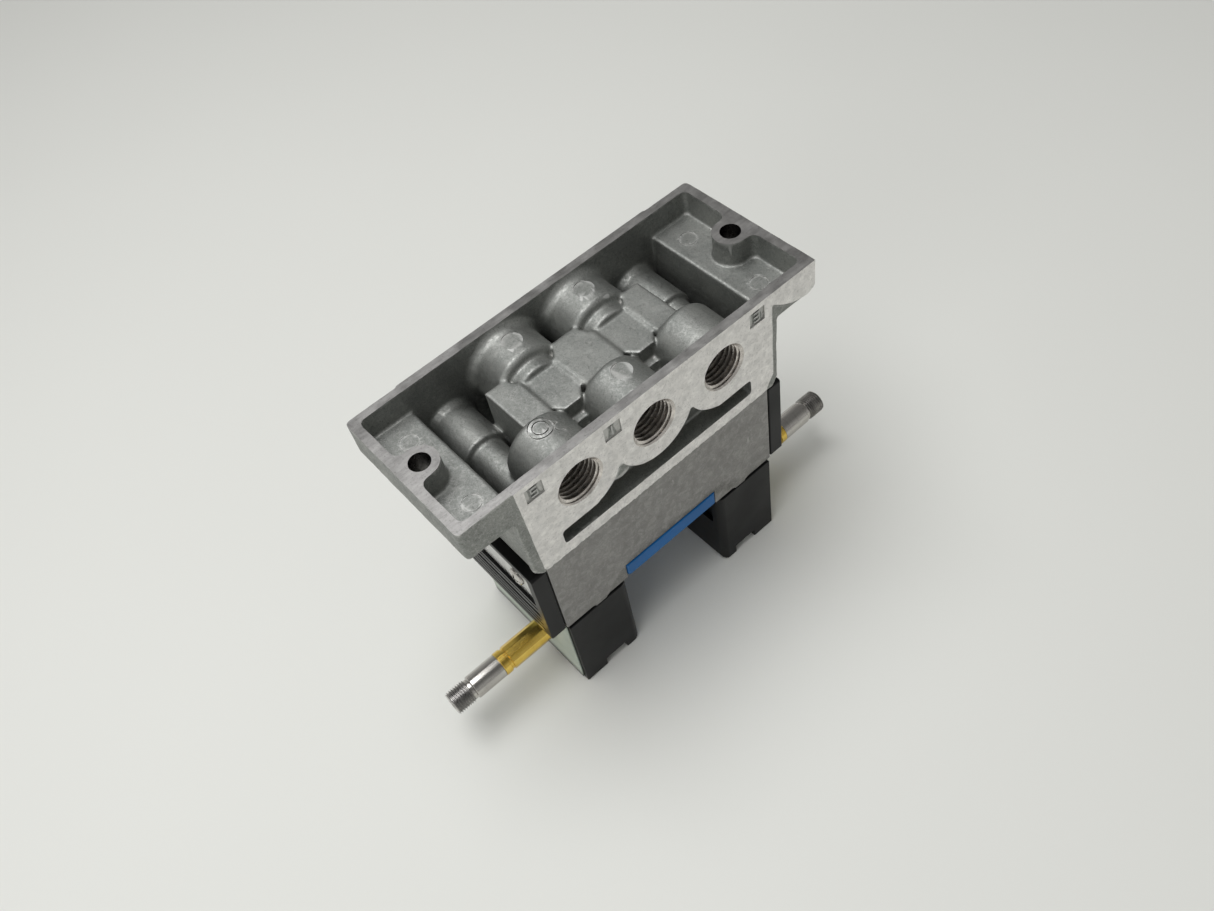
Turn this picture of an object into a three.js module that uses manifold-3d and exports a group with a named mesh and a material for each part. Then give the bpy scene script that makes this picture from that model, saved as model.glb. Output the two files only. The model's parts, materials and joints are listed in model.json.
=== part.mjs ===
// Solenoid directional valve: a 5/2 spool valve with a pilot head at each end, on its own
// sub-base. Millimetres, +Z up. It stands on its two pilot heads, with the open underside of
// the sub-base facing up. The origin is the middle of the footprint, on that surface.
// X runs along the spool, and the three-port face looks towards -Y.

import * as THREE from 'three';
import { mergeVertices } from 'three/addons/utils/BufferGeometryUtils.js';
import Module from 'manifold-3d';

const wasm = await Module();
wasm.setup();

// ---------------------------------------------------------------- driving dimensions

const SIDES = [['left', -1], ['right', 1]];

// Sub-base casting
const BASE_HALF_LENGTH = 55;
const BASE_HALF_WIDTH = 23;
const BASE_TOP = 97;
const BASE_BOTTOM = 62.6;
const BASE_BOX_HALF_LENGTH = 42;
const FLANGE_THICKNESS = 10.2;
const WALL = 2.6;
const TRAY_DEPTH = 7.4;
const FLOOR_THICKNESS = 3.6;
const CAVITY_HALF_LENGTH = 39.6;
const END_WALL_RECESS = 1;
const CORNER_PILLAR = 2.2;
const MOUNT_HOLE_X = 49;
const MOUNT_HOLE_RADIUS = 2.75;
const MOUNT_EAR_RADIUS = 4.8;

// Threaded ports, G1/4, and pilot ports, G1/8
const FRONT_PORT_X = [-23.1, 0, 23.1];
const BACK_PORT_X = [-11.7, 11.7];
const PORT_Z = 84.7;
const PORT_RADIUS = 5.9;
const PORT_MOUTH_RADIUS = 6.58;
const PORT_DEPTH = 12.5;
const FRONT_BOSS_RADIUS = 9.7;
const FRONT_BOSS_END = -7;
const BACK_BOSS_RADIUS = 10.4;
const BACK_BOSS_END = 9;
const BACK_STEP_RADIUS = 8;
const BACK_STEP_END = 5;
const DUCT_TOP = 91.5;
const PILOT_PORT_X = 31.3;
const PILOT_PORT_Z = 77;
const PILOT_PORT_RADIUS = 4.4;
const PILOT_DUCT_Y = 16.5;
const PILOT_DUCT_RADIUS = 1.5;

// Flow ducts through the joint face, one for each port: middle x, middle y, radius
const DUCTS = [
  { x: -20.8, y: 2, radius: 2.8, front: true },
  { x: -11.7, y: -1, radius: 3.2, front: false },
  { x: 0, y: 3, radius: 3.4, front: true },
  { x: 11.7, y: -1, radius: 3.2, front: false },
  { x: 20.8, y: 2, radius: 2.8, front: true },
];

// Valve body and spool
const BODY_HALF_LENGTH = 38.1;
const BODY_HALF_WIDTH = 22;
const BODY_BOTTOM = 32.3;
const BODY_TOP = 62;
const BODY_STEP = 0.9;
const COVER_HALF_LENGTH = 16.3;
const COVER_TOP = 38;
const COVER_BOTTOM = 33.2;
const SPOOL_Z = 47;
const BORE_RADIUS = 7.5;
const GROOVE_RADIUS = 9.3;
const GROOVE_WIDTH = 4;
const CHAMBER_RADIUS = 12;
const CHAMBER_START = 29;
const SPOOL_STROKE = 4;
const SEAL_X = [-25.5, -18.3, -1.5, 1.5, 18.3, 25.5];
const SEAL_SECTION = 0.9;
const SEAL_MIDDLE_RADIUS = 6.55;
const BODY_SCREW_X = 11.5;
const BODY_SCREW_Y = 14;

// End caps
const CAP_START = 38.5;
const CAP_END = 43.1;
const CAP_BOTTOM = 32.4;
const CAP_POCKET_DEPTH = 1.6;
const CAP_POCKET_Z = [47.6, 60];
const CAP_SCREW_Y = 13;
const CAP_SCREW_Z = 54;

// Pilot heads
const HEAD_INNER = 17.2;
const HEAD_OUTER = 37.6;
const HEAD_HALF_WIDTH = 22.2;
const HEAD_TOP = 31.3;
const HEAD_EDGE_RADIUS = 2.4;
const NOTCH_X = [22.4, 30];
const NOTCH_HEIGHT = 3;
const HEAD_SCREW_X = 33.5;
const HEAD_SCREW_Y = 17.5;
const HEAD_SCREW_SEAT = 27.6;

// Armature tubes and what is in them
const TUBE_Y = -8.6;
const TUBE_Z = 16.3;
const TUBE_RADIUS = 3.65;
const TUBE_BORE = 2.95;
const TUBE_ROOT = 31;
const TUBE_END = 55.4;
const CORE_RADIUS = 3.55;
const CORE_FACE = 50;
const THREAD_START = 66;
const TIP = 72;
const SEAT_START = 25.4;
const SEAT_END = 29.4;
const PLUNGER_START = 30;
const PLUNGER_RADIUS = 2.75;
const PLUNGER_STROKE = 1.2;

// Manual override button
const OVERRIDE_X = 26.2;
const OVERRIDE_Y = 2;
const OVERRIDE_RADIUS = 2.5;
const OVERRIDE_BOTTOM = 1.2;
const OVERRIDE_SHOULDER = 9;
const OVERRIDE_BORE_TOP = 15.4;

// Clearances
const SLIDE = 0.15;
const SHIM = 0.1;
const ROUND = 16;
const FINE = 8;
const BROAD = 20;

// ---------------------------------------------------------------- solids

// A three.js geometry as a closed solid, with its faces pointing out.
function solid(geometry) {
  const bare = geometry.clone();
  bare.deleteAttribute('normal');
  bare.deleteAttribute('uv');
  const merged = mergeVertices(bare, 1e-4);
  const corners = merged.index.array;
  const kept = [];
  for (let i = 0; i < corners.length; i += 3) {
    const [a, b, c] = [corners[i], corners[i + 1], corners[i + 2]];
    if (a !== b && b !== c && c !== a) kept.push(a, b, c);
  }
  const make = (list) => new wasm.Manifold(new wasm.Mesh({
    numProp: 3,
    vertProperties: new Float32Array(merged.attributes.position.array),
    triVerts: new Uint32Array(list),
  }));
  const shape = make(kept);
  return shape.volume() > 0 ? shape : make(kept.reverse());
}

const join = (first, ...others) => others.flat().reduce((sum, other) => sum.add(other), first);

const cut = (first, ...others) => others.flat().reduce((rest, other) => rest.subtract(other), first);

function box([x0, x1], [y0, y1], [z0, z1]) {
  const geometry = new THREE.BoxGeometry(x1 - x0, y1 - y0, z1 - z0);
  geometry.translate((x0 + x1) / 2, (y0 + y1) / 2, (z0 + z1) / 2);
  return solid(geometry);
}

// A cylinder along an axis, between two stations, about a middle in the other two coordinates.
function rod(axis, radius, [from, to], [a, b], facets = ROUND) {
  const geometry = new THREE.CylinderGeometry(radius, radius, Math.abs(to - from), facets);
  const middle = (from + to) / 2;
  if (axis === 'x') geometry.rotateZ(Math.PI / 2).translate(middle, a, b);
  if (axis === 'y') geometry.translate(a, middle, b);
  if (axis === 'z') geometry.rotateX(Math.PI / 2).translate(a, b, middle);
  return solid(geometry);
}

// A flat slab of an outline in X and Y.
function slab(outline, [z0, z1]) {
  const shape = new THREE.Shape(outline.map(([x, y]) => new THREE.Vector2(x, y)));
  const geometry = new THREE.ExtrudeGeometry(shape, { depth: z1 - z0, bevelEnabled: false });
  geometry.translate(0, 0, z0);
  return solid(geometry);
}

// A box with its four upright edges rounded.
function roundedBox([x0, x1], [y0, y1], zRange, radius) {
  const outline = [];
  const corners = [[x1, y1, 0], [x0, y1, 1], [x0, y0, 2], [x1, y0, 3]];
  for (const [x, y, quarter] of corners) {
    const middleX = x + (x === x0 ? radius : -radius);
    const middleY = y + (y === y0 ? radius : -radius);
    for (let step = 0; step <= 4; step += 1) {
      const angle = (quarter + step / 4) * Math.PI / 2;
      outline.push([middleX + radius * Math.cos(angle), middleY + radius * Math.sin(angle)]);
    }
  }
  return slab(outline, zRange);
}

// A turned part along X: its profile is a list of [x, radius], closed through the axis.
function turned(profile, [y, z], facets = ROUND) {
  const points = profile.map(([x, radius]) => new THREE.Vector2(radius, x));
  const geometry = new THREE.LatheGeometry(points, facets);
  geometry.rotateZ(-Math.PI / 2).translate(0, y, z);
  return solid(geometry);
}

// A ring of round section about the X axis.
function ring(x, middleRadius, section, [y, z]) {
  const geometry = new THREE.TorusGeometry(middleRadius, section, 6, ROUND);
  geometry.rotateY(Math.PI / 2).translate(x, y, z);
  return solid(geometry);
}

class Helix extends THREE.Curve {
  constructor(radius, length, turns) {
    super();
    Object.assign(this, { radius, length, turns });
  }

  getPoint(t, target = new THREE.Vector3()) {
    const angle = t * this.turns * Math.PI * 2;
    const { radius, length } = this;
    return target.set(t * length, radius * Math.cos(angle), radius * Math.sin(angle));
  }
}

// A coil spring along +X from the origin.
function coil(radius, wire, length, turns) {
  const section = new THREE.Shape([0, 1, 2, 3, 4].map((i) => new THREE.Vector2(
    wire / 2 * Math.cos(i * Math.PI * 0.4), wire / 2 * Math.sin(i * Math.PI * 0.4))));
  return new THREE.ExtrudeGeometry(section, {
    steps: turns * 8,
    bevelEnabled: false,
    extrudePath: new Helix(radius, length, turns),
  });
}

const FINISHES = {
  casting: { color: 0x8d928f, roughness: 0.5, metalness: 0.9 },
  bodyMetal: { color: 0x827f7a, roughness: 0.6, metalness: 0.8 },
  blackPlastic: { color: 0x1d1f20, roughness: 0.45, metalness: 0 },
  blue: { color: 0x2a66b0, roughness: 0.4, metalness: 0 },
  paleLabel: { color: 0xaab5ab, roughness: 0.35, metalness: 0 },
  brass: { color: 0xb08d3a, roughness: 0.3, metalness: 1 },
  steel: { color: 0xb4b4b0, roughness: 0.3, metalness: 1 },
  brightPlate: { color: 0xa5a7a6, roughness: 0.35, metalness: 1 },
  rubber: { color: 0x151515, roughness: 0.8, metalness: 0 },
  aluminium: { color: 0xb6bbbf, roughness: 0.35, metalness: 1 },
};

const valve = new THREE.Group();

// Adds one named solid to the valve, mirrored end for end when side is -1.
function place(name, shape, finish, side = 1) {
  const placed = side < 0 ? shape.mirror([1, 0, 0]) : shape;
  const { vertProperties, triVerts } = placed.getMesh();
  const geometry = new THREE.BufferGeometry();
  geometry.setAttribute('position', new THREE.BufferAttribute(vertProperties, 3));
  geometry.setIndex(new THREE.BufferAttribute(triVerts, 1));
  const mesh = new THREE.Mesh(geometry, new THREE.MeshStandardMaterial(FINISHES[finish]));
  mesh.name = name;
  valve.add(mesh);
}

const bothWays = (list, make) => list.flatMap((value) => [make(value), make(-value)]);

const fourCorners = (x, y, make) => [make(x, y), make(-x, y), make(-x, -y), make(x, -y)];

// ---------------------------------------------------------------- sub-base

function baseShell() {
  const flange = roundedBox([-BASE_HALF_LENGTH, BASE_HALF_LENGTH], [-BASE_HALF_WIDTH, BASE_HALF_WIDTH],
    [BASE_TOP - FLANGE_THICKNESS, BASE_TOP], 1);
  const middle = box([-BASE_BOX_HALF_LENGTH, BASE_BOX_HALF_LENGTH],
    [-BASE_HALF_WIDTH, BASE_HALF_WIDTH], [BASE_BOTTOM, BASE_TOP]);
  const insideY = [WALL - BASE_HALF_WIDTH, BASE_HALF_WIDTH - WALL];
  const trays = roundedBox([WALL - BASE_HALF_LENGTH, BASE_HALF_LENGTH - WALL], insideY,
    [BASE_TOP - TRAY_DEPTH, BASE_TOP + 1], 1.2);
  const cavity = box([-CAVITY_HALF_LENGTH, CAVITY_HALF_LENGTH], insideY,
    [BASE_BOTTOM + FLOOR_THICKNESS, BASE_TOP + 1]);
  const betweenPillars = BASE_HALF_WIDTH - CORNER_PILLAR;
  const recesses = SIDES.map(([, side]) => {
    const faces = [side * (BASE_BOX_HALF_LENGTH - END_WALL_RECESS), side * BASE_HALF_LENGTH];
    return box(faces.sort((a, b) => a - b), [-betweenPillars, betweenPillars],
      [BASE_BOTTOM - 1, BASE_TOP - FLANGE_THICKNESS]);
  });
  return cut(join(flange, middle), trays, cavity, recesses);
}

// The cast housings of the ports and of the ducts that turn down to the joint face.
function castHousings() {
  const floor = BASE_BOTTOM;
  const front = FRONT_PORT_X.map((x) => rod('y', FRONT_BOSS_RADIUS, [1 - BASE_HALF_WIDTH, FRONT_BOSS_END],
    [x, PORT_Z]));
  const back = BACK_PORT_X.flatMap((x) => [
    rod('y', BACK_BOSS_RADIUS, [BACK_BOSS_END, BASE_HALF_WIDTH - 1], [x, PORT_Z]),
    rod('y', BACK_STEP_RADIUS, [BACK_STEP_END, BACK_BOSS_END + 1], [x, PORT_Z]),
  ]);
  const middleDuct = slab([[-5.9, -8], [5.9, -8], [5.9, 5.6], [3.4, 9.9], [-3.4, 9.9], [-5.9, 5.6]],
    [floor, DUCT_TOP]);
  const outerDucts = SIDES.map(([, side]) => slab(
    [[24.8, -8], [24.8, 9.6], [19.2, 9.6], [16.8, 5.6], [16.8, -8]].map(([x, y]) => [side * x, y]),
    [floor, DUCT_TOP]));
  const backDucts = BACK_PORT_X.map((x) => slab(
    [[4.4, -4.6], [4.4, 6], [-4.4, 6], [-4.4, -4.6], [-2, -8.2], [2, -8.2]].map(([u, v]) => [x + u, v]),
    [floor, DUCT_TOP]));
  const pilotTubes = bothWays([PILOT_PORT_X], (x) => join(
    rod('y', 6.6, [5, BASE_HALF_WIDTH - 1], [x, PILOT_PORT_Z]),
    rod('y', 5.2, [1 - BASE_HALF_WIDTH, 5.5], [x, PILOT_PORT_Z]),
    box([x - 3, x + 3], [12, BASE_HALF_WIDTH - 1], [floor, PILOT_PORT_Z])));
  const frontBlock = [
    box([-23.1, 23.1], [1 - BASE_HALF_WIDTH, -10], [floor, 83]),
    box([-34, 34], [1 - BASE_HALF_WIDTH, -12], [floor, 76]),
  ];
  const screwTowers = fourCorners(BODY_SCREW_X, BODY_SCREW_Y,
    (x, y) => rod('z', 4.6, [floor, 74], [x, y]));
  return [...front, ...back, middleDuct, ...outerDucts, ...backDucts, ...pilotTubes, ...frontBlock,
    ...screwTowers];
}

// The ears around the mounting holes, joined to the end walls.
function mountEars() {
  const low = BASE_TOP - FLANGE_THICKNESS;
  return SIDES.flatMap(([, side]) => [
    rod('z', MOUNT_EAR_RADIUS, [low, BASE_TOP], [side * MOUNT_HOLE_X, 0]),
    box([MOUNT_HOLE_X, BASE_HALF_LENGTH - 1].map((x) => side * x).sort((a, b) => a - b),
      [-MOUNT_EAR_RADIUS, MOUNT_EAR_RADIUS], [low, BASE_TOP]),
  ]);
}

// The core-out under the front ports, whose upper edge follows the port bosses.
function portFaceWindow() {
  const back = -17.5;
  const front = -BASE_HALF_WIDTH - 1;
  const band = box([-31.5, 31.5], [front, back], [67.6, 72.7]);
  const cusps = box([-20, 20], [front, back], [67.6, 80]);
  const bosses = FRONT_PORT_X.map((x) => rod('y', 12.05, [front - 1, back + 1], [x, PORT_Z], 36));
  return cut(join(band, cusps), bosses);
}

function portBores() {
  const frontFace = -BASE_HALF_WIDTH;
  const bores = DUCTS.flatMap(({ x, y, radius, front }, i) => {
    const portX = front ? FRONT_PORT_X[i / 2] : BACK_PORT_X[(i - 1) / 2];
    const face = front ? frontFace : BASE_HALF_WIDTH;
    const inward = front ? 1 : -1;
    const end = face + inward * PORT_DEPTH;
    const top = PORT_Z + radius / 2;
    return [
      rod('y', PORT_RADIUS, [face - inward, end].sort((a, b) => a - b), [portX, PORT_Z], BROAD),
      rod('y', PORT_MOUTH_RADIUS, [face - inward, face + inward].sort((a, b) => a - b),
        [portX, PORT_Z], BROAD),
      rod('y', radius, [end - inward, y + inward * radius / 2].sort((a, b) => a - b), [x, PORT_Z]),
      rod('z', radius, [BASE_BOTTOM - 1, top], [x, y]),
    ];
  });
  const pilots = bothWays([PILOT_PORT_X], (x) => join(
    rod('y', PILOT_PORT_RADIUS, [13, BASE_HALF_WIDTH + 1], [x, PILOT_PORT_Z], FINE),
    rod('z', PILOT_DUCT_RADIUS, [BASE_BOTTOM - 1, PILOT_PORT_Z], [x, PILOT_DUCT_Y], FINE)));
  const holes = bothWays([MOUNT_HOLE_X], (x) => rod('z', MOUNT_HOLE_RADIUS,
    [BASE_TOP - FLANGE_THICKNESS - 1, BASE_TOP + 1], [x, 0], ROUND));
  const taps = fourCorners(BODY_SCREW_X, BODY_SCREW_Y,
    (x, y) => rod('z', 2.65, [BASE_BOTTOM - 1, 72.5], [x, y], FINE));
  return [...bores, ...pilots, ...holes, ...taps];
}

function makeSubBase() {
  const round = rod('y', 2.4, [-22.4, -17], [-11.4, 77.2], FINE);
  const cast = join(baseShell(), castHousings(), mountEars());
  place('sub_base', cut(join(cut(cast, portFaceWindow()), round), portBores()), 'casting');
}

function makeBaseGasket() {
  const sheet = roundedBox([-37, 37], [-21, 21], [BODY_TOP + SHIM, BASE_BOTTOM - SHIM], 2);
  const ducts = DUCTS.map(({ x, y, radius }) => rod('z', radius + 0.3, [60, 64], [x, y]));
  const pilots = bothWays([PILOT_PORT_X],
    (x) => rod('z', PILOT_DUCT_RADIUS + 0.3, [60, 64], [x, PILOT_DUCT_Y], FINE));
  const screws = fourCorners(BODY_SCREW_X, BODY_SCREW_Y, (x, y) => rod('z', 2.8, [60, 64], [x, y], FINE));
  place('base_gasket', cut(sheet, ducts, pilots, screws), 'rubber');
}

// ---------------------------------------------------------------- valve body

function makeValveBody() {
  const block = box([-BODY_HALF_LENGTH, BODY_HALF_LENGTH], [-BODY_HALF_WIDTH, BODY_HALF_WIDTH],
    [BODY_BOTTOM, BODY_TOP]);
  const lips = bothWays([26.1], (x) => box([x - 2.6, x + 2.6], [-BODY_HALF_WIDTH, BODY_HALF_WIDTH],
    [BODY_BOTTOM - BODY_STEP / 2, BODY_BOTTOM + 1]));
  const coverSeat = box([-COVER_HALF_LENGTH - SLIDE, COVER_HALF_LENGTH + SLIDE],
    [-BODY_HALF_WIDTH - 1, BODY_HALF_WIDTH + 1], [BODY_BOTTOM - 1, COVER_TOP]);
  const bore = rod('x', BORE_RADIUS, [-40, 40], [0, SPOOL_Z]);
  const grooves = DUCTS.map(({ x }) => rod('x', GROOVE_RADIUS,
    [x - GROOVE_WIDTH / 2, x + GROOVE_WIDTH / 2], [0, SPOOL_Z]));
  const chambers = SIDES.map(([, side]) => rod('x', CHAMBER_RADIUS,
    [side * CHAMBER_START, side * 40], [0, SPOOL_Z], BROAD));
  const ducts = DUCTS.map(({ x, y, radius }) => rod('z', radius, [SPOOL_Z, BODY_TOP + 1], [x, y]));
  const pilots = bothWays([PILOT_PORT_X], (x) => rod('z', PILOT_DUCT_RADIUS,
    [BODY_BOTTOM - 1, BODY_TOP + 1], [x, PILOT_DUCT_Y], FINE));
  const screws = fourCorners(BODY_SCREW_X, BODY_SCREW_Y, (x, y) => join(
    rod('z', 2.75, [BODY_BOTTOM, BODY_TOP + 1], [x, y], FINE),
    rod('z', 4.6, [BODY_BOTTOM, COVER_TOP + 5.4], [x, y], FINE)));
  const capTaps = SIDES.flatMap(([, side]) => bothWays([CAP_SCREW_Y],
    (y) => rod('x', 1.6, [side * 30.5, side * 40], [y, CAP_SCREW_Z], FINE)));
  const headTaps = fourCorners(HEAD_SCREW_X, HEAD_SCREW_Y,
    (x, y) => rod('z', 1.6, [BODY_BOTTOM - 1, 40.5], [x, y], FINE));
  place('valve_body', cut(join(block, lips), coverSeat, bore, grooves, chambers, ducts, pilots, screws,
    capTaps, headTaps), 'bodyMetal');
}

// The blue cover in the seat between the pilot heads, with four holes over the body screws.
function makeBlueCover() {
  const plate = roundedBox([-COVER_HALF_LENGTH, COVER_HALF_LENGTH], [-22.4, 22.4],
    [COVER_BOTTOM, COVER_TOP - SHIM], 0.8);
  const holes = fourCorners(BODY_SCREW_X, BODY_SCREW_Y,
    (x, y) => rod('z', 4.5, [COVER_BOTTOM - 1, COVER_TOP + 1], [x, y], 16));
  place('blue_cover', cut(plate, holes), 'blue');
}

// A socket-head screw along Z, its head at the bottom.
function socketScrew(radius, headRadius, headHeight, [bottom, top], [x, y]) {
  const head = rod('z', headRadius, [bottom, bottom + headHeight], [x, y], 16);
  const shank = rod('z', radius, [bottom + headHeight, top], [x, y], FINE);
  const socket = rod('z', headRadius * 0.53, [bottom - 1, bottom + headHeight * 0.55], [x, y], 6);
  return cut(join(head, shank), socket);
}

function makeBodyScrews() {
  const bottom = COVER_TOP + 0.2;
  fourCorners(BODY_SCREW_X, BODY_SCREW_Y, (x, y) => [x, y]).forEach(([x, y], i) => {
    place(`body_screw_${i + 1}`, socketScrew(2.5, 4.25, 5, [bottom, 71.5], [x, y]), 'steel');
  });
}

// ---------------------------------------------------------------- spool and pistons

// The spool rests at its left stop, half a stroke from the middle of the body.
function makeSpool() {
  const rest = -SPOOL_STROKE / 2;
  const land = BORE_RADIUS - SLIDE;
  const neck = 4.5;
  const half = [
    [3.6, land], [3.6, neck], [16.2, neck], [16.2, land], [20.4, land], [20.4, neck], [23.2, neck],
    [23.2, land], [30.6, land], [30.6, 3], [37, 3], [37, 0],
  ];
  const mirrored = half.map(([x, radius]) => [-x, radius]).reverse();
  const body = turned([...mirrored, ...half], [0, SPOOL_Z]);
  const sealGrooves = SEAL_X.map((x) => cut(
    rod('x', BORE_RADIUS + 1, [x - SEAL_SECTION - 0.1, x + SEAL_SECTION + 0.1], [0, SPOOL_Z]),
    rod('x', SEAL_MIDDLE_RADIUS - SEAL_SECTION - 0.1, [x - 2, x + 2], [0, SPOOL_Z])));
  place('spool', cut(body, sealGrooves).translate([rest, 0, 0]), 'aluminium');
  SEAL_X.forEach((x, i) => {
    place(`spool_seal_${i + 1}`, ring(x + rest, SEAL_MIDDLE_RADIUS, SEAL_SECTION, [0, SPOOL_Z]), 'rubber');
  });
}

function makePistons() {
  const rest = -SPOOL_STROKE / 2;
  const [near, far] = [31.4, 35.6];
  for (const [name, side] of SIDES) {
    const disc = turned([
      [near, 3.2], [near, 11.6], [32.3, 11.6], [32.3, 9.7], [34.7, 9.7], [34.7, 11.6], [far, 11.6],
      [far, 3.2], [near, 3.2],
    ], [0, SPOOL_Z], BROAD);
    place(`piston_${name}`, disc.translate([side * rest, 0, 0]), 'blackPlastic', side);
    const seal = turned([[32.5, 9.9], [32.5, 11.85], [34.5, 11.85], [34.5, 9.9], [32.5, 9.9]],
      [0, SPOOL_Z], BROAD);
    place(`piston_seal_${name}`, seal.translate([side * rest, 0, 0]), 'rubber', side);
  }
}

// ---------------------------------------------------------------- end caps

function makeEndCap(name, side) {
  const middleZ = (CAP_BOTTOM + BODY_TOP) / 2;
  const gasket = cut(
    box([BODY_HALF_LENGTH + SHIM, CAP_START - SHIM], [-21.4, 21.4], [CAP_BOTTOM + 0.6, BODY_TOP - 0.6]),
    rod('x', CHAMBER_RADIUS, [37, 40], [0, SPOOL_Z]),
    bothWays([CAP_SCREW_Y], (y) => rod('x', 2, [37, 40], [y, CAP_SCREW_Z], FINE)));
  place(`cap_gasket_${name}`, gasket, 'rubber', side);

  const block = box([CAP_START, CAP_END], [-BODY_HALF_WIDTH, BODY_HALF_WIDTH], [CAP_BOTTOM, BODY_TOP]);
  const pocket = box([CAP_END - CAP_POCKET_DEPTH, CAP_END + 1], [-19.6, 19.6], CAP_POCKET_Z);
  const groove = box([CAP_END - 0.8, CAP_END + 1], [-19.6, 19.6], [middleZ - 5.4, middleZ - 3.8]);
  const relief = rod('x', 7, [CAP_START - 1, CAP_START + 1.4], [0, SPOOL_Z], 20);
  const screwHoles = bothWays([CAP_SCREW_Y],
    (y) => rod('x', 1.8, [CAP_START - 1, CAP_END], [y, CAP_SCREW_Z], FINE));
  place(`end_cap_${name}`, cut(block, pocket, groove, relief, screwHoles), 'blackPlastic', side);

  const plateStart = CAP_END - CAP_POCKET_DEPTH + SHIM;
  const plateEnd = plateStart + 0.8;
  const plate = cut(
    box([plateStart, plateEnd], [-19.3, 19.3], [CAP_POCKET_Z[0] + 0.3, CAP_POCKET_Z[1] - 0.3]),
    bothWays([CAP_SCREW_Y], (y) => rod('x', 1.8, [40, 45], [y, CAP_SCREW_Z], FINE)));
  place(`cap_plate_${name}`, plate, 'brightPlate', side);

  [CAP_SCREW_Y, -CAP_SCREW_Y].forEach((y, i) => {
    const head = rod('x', 2.6, [plateEnd + 0.02, plateEnd + 1.1], [y, CAP_SCREW_Z], 16);
    const shank = rod('x', 1.5, [31, plateEnd + 0.5], [y, CAP_SCREW_Z], FINE);
    const slot = box([plateEnd + 0.5, 45], [y - 3, y + 3], [CAP_SCREW_Z - 0.35, CAP_SCREW_Z + 0.35]);
    place(`cap_screw_${name}_${i + 1}`, cut(join(head, shank), slot), 'steel', side);
  });
}

// ---------------------------------------------------------------- pilot heads

// A block whose upright inner edges are rounded, with the slot along its foot.
function headBlock() {
  const block = join(
    roundedBox([HEAD_INNER, HEAD_OUTER], [-HEAD_HALF_WIDTH, HEAD_HALF_WIDTH], [0, HEAD_TOP],
      HEAD_EDGE_RADIUS),
    box([HEAD_OUTER - 6, HEAD_OUTER], [-HEAD_HALF_WIDTH, HEAD_HALF_WIDTH], [0, HEAD_TOP]));
  const notch = box(NOTCH_X, [-30, 30], [-1, NOTCH_HEIGHT]);
  const recess = box([HEAD_INNER - 1, HEAD_INNER + 1.4], [-19, 19], [18.4, 29]);
  return cut(block, notch, recess);
}

function makePilotHead(name, side) {
  const tubeBore = rod('x', TUBE_RADIUS + SLIDE, [SEAT_END, 40], [TUBE_Y, TUBE_Z]);
  const seatBore = rod('x', 3.1, [SEAT_START - 0.2, SEAT_END + 1], [TUBE_Y, TUBE_Z], 20);
  const air = [
    rod('x', 0.8, [HEAD_INNER + 3, SEAT_START], [TUBE_Y, TUBE_Z], FINE),
    rod('z', 0.8, [TUBE_Z, HEAD_TOP + 1], [HEAD_INNER + 4, TUBE_Y], FINE),
    rod('z', PILOT_DUCT_RADIUS, [20, HEAD_TOP + 1], [PILOT_PORT_X, PILOT_DUCT_Y], FINE),
  ];
  const override = [
    rod('z', OVERRIDE_RADIUS + SLIDE, [0, OVERRIDE_BORE_TOP], [OVERRIDE_X, OVERRIDE_Y]),
    rod('z', 1.5, [OVERRIDE_BORE_TOP - 1, OVERRIDE_BORE_TOP + 3.4], [OVERRIDE_X, OVERRIDE_Y], FINE),
  ];
  const screwBores = [1, -1].map((end) => join(
    rod('z', 3.1, [-1, HEAD_SCREW_SEAT], [HEAD_SCREW_X, end * HEAD_SCREW_Y]),
    rod('z', 1.7, [20, HEAD_TOP + 1], [HEAD_SCREW_X, end * HEAD_SCREW_Y], FINE)));
  place(`pilot_head_${name}`, cut(headBlock(), tubeBore, seatBore, air, override, screwBores),
    'blackPlastic', side);

  const gasketTop = BODY_BOTTOM - BODY_STEP / 2 - 0.05;
  const gasket = cut(
    box([HEAD_INNER + 0.6, HEAD_OUTER - 0.2], [-21.6, 21.6], [HEAD_TOP + SHIM, gasketTop]),
    rod('z', 1.2, [31, 33], [HEAD_INNER + 4, TUBE_Y], FINE),
    rod('z', 1.8, [31, 33], [PILOT_PORT_X, PILOT_DUCT_Y], FINE),
    [1, -1].map((end) => rod('z', 1.8, [31, 33], [HEAD_SCREW_X, end * HEAD_SCREW_Y], FINE)));
  place(`head_gasket_${name}`, gasket, 'rubber', side);

  const label = cut(
    box([HEAD_OUTER + SHIM, HEAD_OUTER + 0.5], [-20.8, 20.8], [0.9, HEAD_TOP - 0.6]),
    rod('x', TUBE_RADIUS + 0.5, [36, 40], [TUBE_Y, TUBE_Z]));
  place(`label_plate_${name}`, label, 'paleLabel', side);

  [1, -1].forEach((end, i) => {
    place(`head_screw_${name}_${i + 1}`,
      socketScrew(1.5, 2.75, 3, [HEAD_SCREW_SEAT - 3.2, 39.5], [HEAD_SCREW_X, end * HEAD_SCREW_Y]),
      'steel', side);
  });
}

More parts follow.
